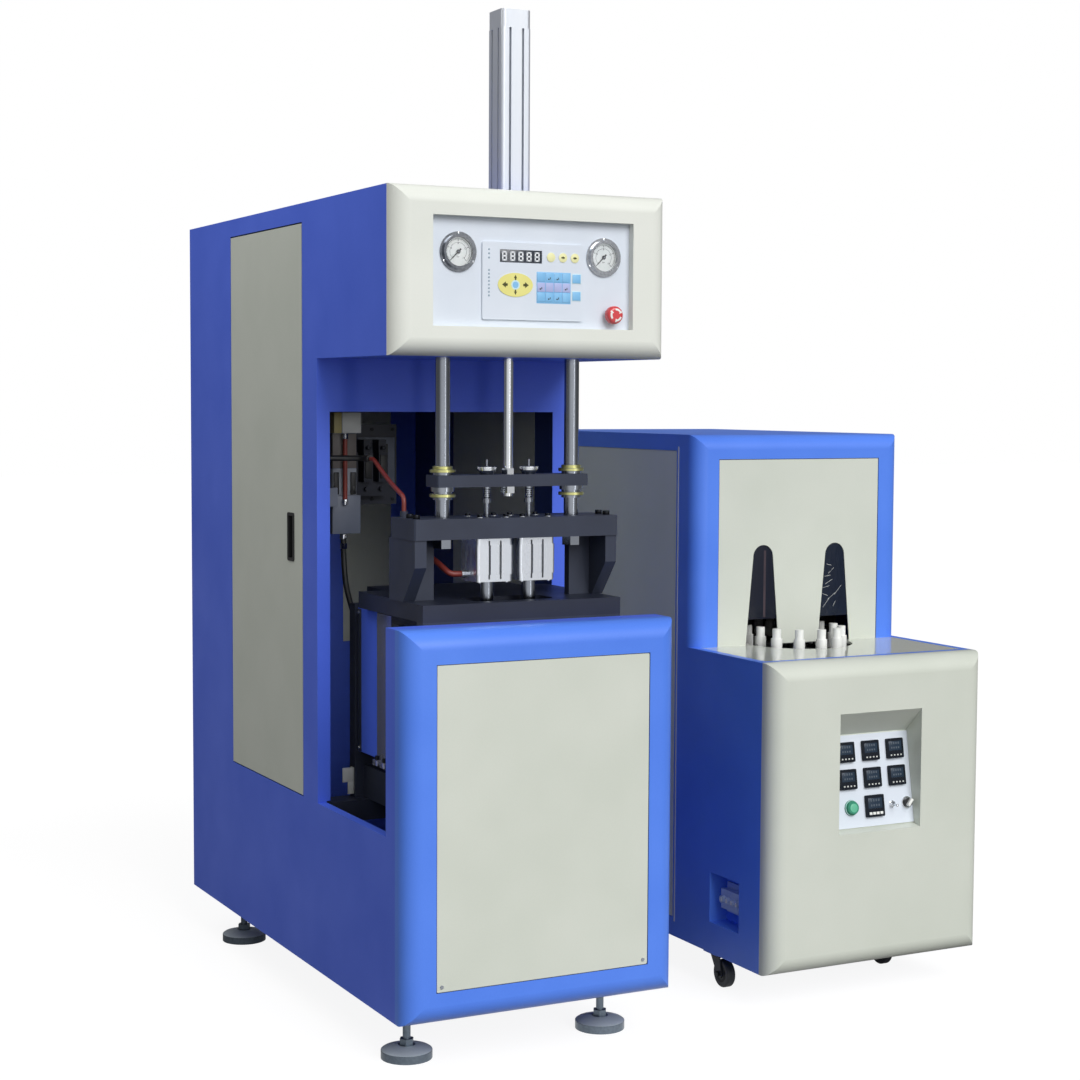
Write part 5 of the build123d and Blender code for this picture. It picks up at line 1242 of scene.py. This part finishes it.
@dataclass
class HeaterControls(SubAssembly):
    """Control recess of the heater: controller windows and keys, button rim, toggle nut and pointer.

    Places count from the middle of the leaning plate's foot: across, up the plate and out of it.
    """

    middle: float = 1167.5
    foot: Pair = (103.0, 381.0)
    head: Pair = (136.0, 585.0)
    thickness: float = 3.0
    proud: float = 7.0
    small: float = 44.0
    large: float = 48.0
    shift: float = 3.5
    pitch: float = 66.0
    row: float = 59.5
    top_row: float = 168.0
    low_row: float = 46.0
    button_x: float = -57.5
    toggle_x: float = 52.5
    knob_x: float = 93.0
    knob_turn: float = -40.0
    reading_rows: tuple[Pair, Pair] = ((0.2, 0.11), (-0.02, 0.09))
    signs: int = 4
    button_rim: Outline = ((14.25, 0), (17.4, 0), (17.4, 2.6), (16.0, 4.4), (14.25, 4.4))
    toggle_neck: Outline = ((4.6, 2.2), (6.4, 2.2), (6.4, 5.0), (5.8, 5.6), (4.6, 5.6))
    knob_ring: Outline = ((10.4, 0), (13.6, 0), (13.6, 1.6), (12.6, 2.6), (10.4, 2.6))

    def place(self, x: float, up: float, out: float = 0.0) -> Matrix:
        """Give a frame on the leaning plate: X across, Y up the plate, Z out to the operator.

        Args:
            x: Distance right of the plate's middle.
            up: Distance up the plate.
            out: Distance in front of the plate.

        Returns:
            The frame in machine millimetres.
        """
        lean = math.atan2(self.head[0] - self.foot[0], self.head[1] - self.foot[1])
        axes = Matrix(((1, 0, 0), (0, math.sin(lean), -math.cos(lean)), (0, math.cos(lean), math.sin(lean))))
        frame = Matrix.Translation((self.middle, self.foot[0], self.foot[1])) @ axes.to_4x4()
        return frame @ Matrix.Translation((x, up, self.thickness + out))

    def build(self) -> None:
        """Build every small piece of the control recess."""
        for i in range(6):
            row, column = divmod(i, 3)
            self.controller("controller_%d" % (i + 1), self.shift + (column - 1) * self.pitch,
                            self.top_row - row * self.row, self.small)
        self.controller("controller_master", self.shift, self.low_row, self.large)
        self.low_controls()

    def controller(self, name: str, x: float, up: float, size: float) -> None:
        """Fill one controller's face with its window, its two readings and its keys, sized by its width.

        Args:
            name: Name for its pieces.
            x: Its middle across the plate.
            up: Its middle up the plate.
            size: Its width.
        """
        frame = self.place(x, up, self.proud)
        glass, reading, keys = self.shape(frame), self.shape(frame), self.shape(frame)
        glass.slab((-size * 0.39, -size * 0.12, -0.9), (size * 0.39, size * 0.36, -0.3), 0.4)
        glass.piece(name + "_window", CONTROL_WINDOW)
        for row, height in self.reading_rows:
            for i in range(self.signs):
                left = size * (-0.26 + 0.14 * i)
                low = size * row
                reading.slab((left, low, -0.35), (left + size * 0.085, low + size * height, -0.2))
        reading.piece(name + "_readings", READING)
        large = size > self.small
        half = size * (0.075 if large else 0.045)
        for i in range(self.signs):
            middle = size * (0.2 * i - 0.3)
            keys.slab((middle - half, -size * 0.34 - half * 0.8, -1.0),
                      (middle + half, -size * 0.34 + half * 0.8, 1.5), 0.4)
        keys.piece(name + "_keys", WHITE if large else PALE)

    def low_controls(self) -> None:
        """Build the start button's rim and lens, the toggle's nut and the selector's ring and pointer."""
        on_button, on_toggle, on_knob = (self.place(x, self.low_row)
                                         for x in (self.button_x, self.toggle_x, self.knob_x))
        centre = (0, 0, 0)
        self.shape(on_button).lathe(centre, self.button_rim).piece("start_button_rim", GREEN)
        self.shape(on_button).rod((0, 0, 11.1), 0.45, 9.6, Axis.Z, 40, 0.15).piece(
            "start_button_lens", GREEN_LENS, "start")
        self.shape(on_toggle).rod((0, 0, 0.05), 2.2, 8.2, Axis.Z, HEXAGON, 0.4).lathe(
            centre, self.toggle_neck).piece("toggle_nut", CHROME)
        self.shape(on_knob).lathe(centre, self.knob_ring).piece("selector_ring", CHROME)
        turned = on_knob @ Matrix.Rotation(math.radians(self.knob_turn), 4, "Z")
        self.shape(turned).slab((-3.2, -9.2, 8.2), (3.2, 9.2, 16.6), 0.8).piece(
            "selector_pointer", WHITE, "selector")


@dataclass
class HeaterOven(SubAssembly):
    """Film curtains behind the oven's two slots, with a painted reflection on the smooth one and painted
    highlights on the crumpled one's creases, and the connector blades in the side recess.

    A crease's painted highlight is written as its middle from the slot's middle, its height, its length and
    its tilt.
    """

    left_slot: float = 1068.0
    right_slot: float = 1267.0
    half: float = 50.0
    front: float = 406.02
    bottom: float = 816.0
    top: float = 1000.0
    film: float = 1.2
    reflection_x: Pair = (3.0, 9.0)
    reflection_ends: Pair = (4.0, 26.0)
    crease_half: float = 0.35
    creases: tuple[tuple[float, float, float, float], ...] = (
        (-20, 848, 30, 50), (-6, 862, 26, 35), (12, 876, 28, 48), (-24, 866, 16, -20), (-22, 884, 20, 12),
        (-14, 896, 22, 28), (-18, 910, 16, 8), (-8, 922, 20, 40), (-14, 936, 14, -12), (2, 844, 14, 60))
    socket: Triple = (929.0, 265.0, 205.5)
    blades: int = 4
    blade_pitch: float = 20.0
    blade_half: Pair = (1.7, 4.5)

    def build(self) -> None:
        """Build the curtains, their painted reflection and crease highlights, and the blades."""
        for side, x, finish in (("left", self.left_slot, SMOOTH_FILM),
                                ("right", self.right_slot, CRUMPLED_FILM)):
            self.shape().slab((x - self.half, self.front, self.bottom),
                              (x + self.half, self.front + self.film, self.top), 0.4).piece(
                "oven_curtain_" + side, finish)
        # Painted reflection: a brown upright line of sheen on the smooth curtain.
        left, right = (self.left_slot + x for x in self.reflection_x)
        low, high = self.bottom + self.reflection_ends[0], self.top - self.reflection_ends[1]
        self.shape().slab((left, self.front - 0.1, low), (right, self.front + 0.1, high)).piece(
            "oven_curtain_painted_reflection", FILM_REFLECTION)
        # Painted highlights: pale lines where the crumpled film's creases catch the light.
        creases = self.shape()
        for across, up, length, tilt in self.creases:
            x = self.right_slot + across
            creases.slab((x - length / 2, self.front - 0.12, up - self.crease_half),
                         (x + length / 2, self.front + 0.1, up + self.crease_half),
                         turn=Matrix.Rotation(math.radians(-tilt), 4, "Y"))
        creases.piece("oven_curtain_crease_highlights", PALE)
        x, y, z = self.socket
        wide, high = self.blade_half
        pins = self.shape()
        for i in range(self.blades):
            side = y + self.blade_pitch * (i - (self.blades - 1) / 2)
            pins.slab((x - 34.4, side - wide, z - high), (x - 12.0, side + wide, z + high), 0.4)
        pins.piece("socket_blades", WHITE)


@dataclass
class PanelSeams(SubAssembly):
    """Painted shade in the gaps round the set-in panels, and a painted highlight on the front edge of the
    heater's side panel.
    """

    gap: float = 1.5
    gap_shade_depth: Pair = (0.5, 1.4)

    def build(self) -> None:
        """Build the painted shade round all three panels and the painted highlight on the side panel's edge.
        """
        for name in ("tower_panel", "cover_panel", "head_panel"):
            self.seam(name)
        low, high = self.corners("heater_side_panel")
        edge = self.shape()
        # Painted highlight: a pale strip along the panel's front edge, where it catches the light.
        edge.slab((low.x - 0.5, low.y, low.z + 1), (low.x + 0.6, low.y + 4.5, high.z - 1), 0.2)
        edge.piece("heater_side_panel_painted_highlight", PALE)

    def corners(self, node: str) -> tuple[Vector, Vector]:
        """Give a node's corners in machine millimetres.

        Args:
            node: The node.

        Returns:
            Its lowest and its highest corner.
        """
        back = self.station.matrix().inverted()
        low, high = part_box(node)
        return back @ Vector(low), back @ Vector(high)

    def seam(self, node: str) -> None:
        """Fill the gap round one panel with painted shade: a dark sheet that lies behind its face.

        Args:
            node: The panel.
        """
        low, high = self.corners(node)
        front, back = (low.y + depth for depth in self.gap_shade_depth)
        joint = self.shape()
        gap = self.gap
        # Painted shade: dark sheets in the gap along each side.
        for x in (low.x - gap, high.x):
            joint.slab((x, front, low.z - gap), (x + gap, back, high.z + gap))
        for z in (low.z - gap, high.z):
            joint.slab((low.x, front, z), (high.x, back, z + gap))
        joint.piece(node + "_gap_painted_shade", INK)


@dataclass
class FloorGear(SubAssembly):
    """Axle nuts and hub rings of the castors, and painted light on the tops of the levelling feet."""

    castor_x: Pair = (916.0, 1351.0)
    castor_y: Pair = (328.0, 1115.0)
    trail: float = 18.0
    axle: float = 31.5
    reach: float = 17.0
    nut: Pair = (4.4, 6.5)
    hub_radii: Pair = (14.0, 20.0)
    hub_spans: tuple[Pair, Pair] = ((-11.4, -9.8), (9.8, 11.4))
    foot_x: Pair = (79.0, 521.0)
    foot_y: Pair = (175.0, 1169.0)
    lit_top_outline: Outline = ((17.5, 26.4), (22.0, 26.4), (48.0, 19.1), (51.4, 16.9), (51.4, 15.9), (48.0, 18.2),
                         (22.0, 25.5), (17.5, 25.5))

    def build(self) -> None:
        """Build the painted light on the feet's tops, and the axle nuts and hub rings of all four castors.
        """
        caps = self.shape()
        for x in self.foot_x:
            for y in self.foot_y:
                # Painted light: a pale skin over each pad's top.
                caps.lathe((x, y, 0), self.lit_top_outline)
        caps.piece("foot_pad_tops_painted_light", PAINTED_LIT_FOOT_TOP)
        for end, y in zip(("front", "back"), self.castor_y):
            for side, x in zip(("left", "right"), self.castor_x):
                self.castor(end + "_" + side, x, y - self.trail)

    def castor(self, name: str, x: float, y: float) -> None:
        """Build the nuts and the hub rings of one castor.

        Args:
            name: Where the castor stands.
            x: Middle of its wheel across the machine.
            y: Middle of its wheel along the machine.
        """
        length, radius = self.nut
        nuts, hub = self.shape(), self.shape()
        for start in (x - self.reach - 4, x + self.reach - 0.4):
            nuts.rod((start, y, self.axle), length, radius, Axis.X, HEXAGON, 0.6)
        nuts.piece("castor_nuts_" + name, BLACK_OXIDE, "castor_" + name)
        inner, outer = self.hub_radii
        for low, high in self.hub_spans:
            hub.lathe((x, y, self.axle), [(inner, low), (outer, low), (outer, high), (inner, high)], Axis.X)
        hub.piece("castor_hub_rings_" + name, CONTROLLER, "wheel_" + name)


@dataclass
class Studio:
    """Camera at the photograph's place, a pale floor and plain soft light."""

    eye: Triple = (-2.2406, -4.1629, 1.3159)
    yaw: float = 27.19
    pitch: float = 3.93
    roll: float = 0.29
    lens: float = 67.81
    sensor: float = 36.0
    far: float = 200.0
    floor_half: float = 30.0
    floor_colour: str = "#757575"
    floor_roughness: float = 0.9
    floor_glow: float = 0.9
    floor_dim: float = 0.12
    ambient: float = 0.17
    lobe: float = 0.8
    lobe_from: Triple = (-0.25, -1.0, 0.45)
    lobe_start: float = 0.35
    sun: float = 2.13
    sun_angle: float = 40.0
    sun_towards: Triple = (-0.16, 1.0, -0.7)
    side_light: float = 19.0
    side_size: float = 1.4
    side_place: Triple = (-2.0, 0.1, 3.1)
    side_aim: Triple = (-0.72, 0.1, 1.5)
    strip_light: float = 14.0
    strip_size: Pair = (0.35, 3.0)
    strip_place: Triple = (0.8, -5.3, 1.4)
    strip_aim: Triple = (-0.4, -0.4, 1.3)

    def camera(self) -> None:
        """Stand the camera where the photograph was taken."""
        data = bpy.data.cameras.new("camera")
        data.sensor_width = self.sensor
        data.lens = self.lens
        data.clip_end = self.far
        camera = bpy.data.objects.new("camera", data)
        camera.matrix_world = (
            Matrix.Translation(self.eye)
            @ Matrix.Rotation(math.radians(-self.yaw), 4, "Z")
            @ Matrix.Rotation(math.radians(90 - self.pitch), 4, "X")
            @ Matrix.Rotation(math.radians(self.roll), 4, "Z"))
        bpy.context.scene.collection.objects.link(camera)
        bpy.context.scene.camera = camera

    def lay_lobe(self, tree: bpy.types.NodeTree, direction: bpy.types.NodeSocket,
                 low: float, high: float) -> bpy.types.NodeSocket:
        """Make a level that is high towards the soft front light and low elsewhere.

        Args:
            tree: Node tree that takes the nodes.
            direction: Direction or place that the level depends on.
            low: Level away from the light.
            high: Level towards the light.

        Returns:
            The socket with the level.
        """
        unit = add_node(tree, "ShaderNodeVectorMath", {"operation": "NORMALIZE"}, {0: direction})
        towards = Vector(self.lobe_from).normalized()
        facing = add_node(tree, "ShaderNodeVectorMath", {"operation": "DOT_PRODUCT"}, {
            0: unit.outputs["Vector"], 1: towards})
        level = add_node(tree, "ShaderNodeMapRange", {"interpolation_type": "SMOOTHSTEP"}, {
            "Value": facing.outputs["Value"], "From Min": self.lobe_start, "From Max": 1.0,
            "To Min": low, "To Max": high})
        return level.outputs["Result"]

    def clear_rays(self, tree: bpy.types.NodeTree) -> tuple[bpy.types.Node, bpy.types.NodeSocket]:
        """Mark the rays that see the surround itself: the camera's, and those through glass.

        Args:
            tree: Node tree that takes the nodes.

        Returns:
            The light path node, and the socket that is one for such rays.
        """
        path = add_node(tree, "ShaderNodeLightPath")
        clear = add_node(tree, "ShaderNodeMath", {"operation": "MAXIMUM"}, {
            0: path.outputs["Is Camera Ray"], 1: path.outputs["Is Transmission Ray"]})
        return path, clear.outputs["Value"]

    def floor(self) -> None:
        """Lay a pale floor that keeps a soft shadow and looks white to the camera and in gloss."""
        mesh = bmesh.new()
        bmesh.ops.create_grid(mesh, x_segments=1, y_segments=1, size=self.floor_half)
        data = bpy.data.meshes.new("studio_floor")
        mesh.to_mesh(data)
        mesh.free()
        floor = bpy.data.objects.new("studio_floor", data)
        bpy.context.scene.collection.objects.link(floor)
        # Matt studio paper: it keeps the shadow, and glows white only for the camera, glass and gloss.
        material = bpy.data.materials.new("white_studio_floor")
        material.use_nodes = True
        tree = material.node_tree
        shader = tree.nodes["Principled BSDF"]
        shader.inputs["Base Color"].default_value = linear(self.floor_colour)
        shader.inputs["Roughness"].default_value = self.floor_roughness
        shader.inputs["Specular IOR Level"].default_value = 0.0
        shader.inputs["Emission Color"].default_value = (1.0, 1.0, 1.0, 1.0)
        path, clear = self.clear_rays(tree)
        place = add_node(tree, "ShaderNodeTexCoord")
        gloss = self.lay_lobe(tree, place.outputs["Object"], self.floor_dim, self.floor_glow)
        in_gloss = add_node(tree, "ShaderNodeMath", {"operation": "MULTIPLY"}, {
            0: path.outputs["Is Glossy Ray"], 1: gloss})
        in_view = add_node(tree, "ShaderNodeMath", {"operation": "MULTIPLY"}, {
            0: clear, 1: self.floor_glow})
        glow = add_node(tree, "ShaderNodeMath", {"operation": "MAXIMUM"}, {
            0: in_view.outputs["Value"], 1: in_gloss.outputs["Value"]})
        tree.links.new(glow.outputs["Value"], shader.inputs["Emission Strength"])
        data.materials.append(material)

    def surround(self) -> None:
        """Set a soft surround that is white for the camera, glass and gloss."""
        world = bpy.data.worlds.new("white_studio")
        bpy.context.scene.world = world
        world.use_nodes = True
        tree = world.node_tree
        tree.nodes.clear()
        path, clear = self.clear_rays(tree)
        place = add_node(tree, "ShaderNodeTexCoord")
        soft = self.lay_lobe(tree, place.outputs["Generated"], self.ambient, self.lobe)
        gloss = self.lay_lobe(tree, place.outputs["Generated"], self.ambient, 1.0)
        reflected = add_node(tree, "ShaderNodeMix", {"data_type": "FLOAT"}, {
            "Factor": path.outputs["Is Glossy Ray"], "A": soft, "B": gloss})
        level = add_node(tree, "ShaderNodeMix", {"data_type": "FLOAT"}, {
            "Factor": clear, "A": reflected.outputs["Result"], "B": 1.0})
        sky = add_node(tree, "ShaderNodeBackground", {}, {
            "Color": (1.0, 1.0, 1.0, 1.0), "Strength": level.outputs["Result"]})
        add_node(tree, "ShaderNodeOutputWorld", {}, {"Surface": sky.outputs["Background"]})

    def hang(self, name: str, kind: LampKind, energy: float, place: Sequence[float],
             towards: Vector) -> bpy.types.Light:
        """Hang one lamp; an area lamp is hidden from the camera.

        Args:
            name: Name of the lamp.
            kind: Its type.
            energy: Its strength.
            place: Where it hangs.
            towards: Direction in which it shines.

        Returns:
            The lamp's data, for its size.
        """
        data = bpy.data.lights.new(name, kind.value)
        data.energy = energy
        lamp = bpy.data.objects.new(name, data)
        turn = towards.to_track_quat("-Z", "Y").to_matrix().to_4x4()
        lamp.matrix_world = Matrix.Translation(place) @ turn
        lamp.visible_camera = kind is LampKind.SUN
        bpy.context.scene.collection.objects.link(lamp)
        return data

    def light(self) -> None:
        """Hang a broad soft light in front, a soft one over the cabinet's side and a tall strip."""
        bpy.context.scene.view_settings.view_transform = "Standard"
        self.surround()
        sun = self.hang("soft_front_light", LampKind.SUN, self.sun, (0, 0, 0),
                        Vector(self.sun_towards).normalized())
        sun.angle = math.radians(self.sun_angle)
        side = self.hang("soft_side_light", LampKind.AREA, self.side_light, self.side_place,
                         Vector(self.side_aim) - Vector(self.side_place))
        side.shape = "SQUARE"
        side.size = self.side_size
        strip = self.hang("tall_strip_light", LampKind.AREA, self.strip_light, self.strip_place,
                          Vector(self.strip_aim) - Vector(self.strip_place))
        strip.shape = "RECTANGLE"
        strip.size, strip.size_y = self.strip_size


def main() -> None:
    """Load the frame, dress it, add the small pieces and set the stage."""
    logging.basicConfig(level=logging.INFO, format="%(message)s")
    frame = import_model()
    dress_nodes(frame["nodes"])
    station = Station()
    log.info("machine frame starts at %.4f, %.4f", station.left, station.front)
    for group in (ControlHead(station), PressTools(station), MouldClamp(station), CabinetInside(station),
                  HeaterControls(station), HeaterOven(station), PanelSeams(station), FloorGear(station)):
        log.info("building %s", type(group).__name__)
        group.build()
    studio = Studio()
    studio.camera()
    studio.floor()
    studio.light()


if __name__ == "__main__":
    main()
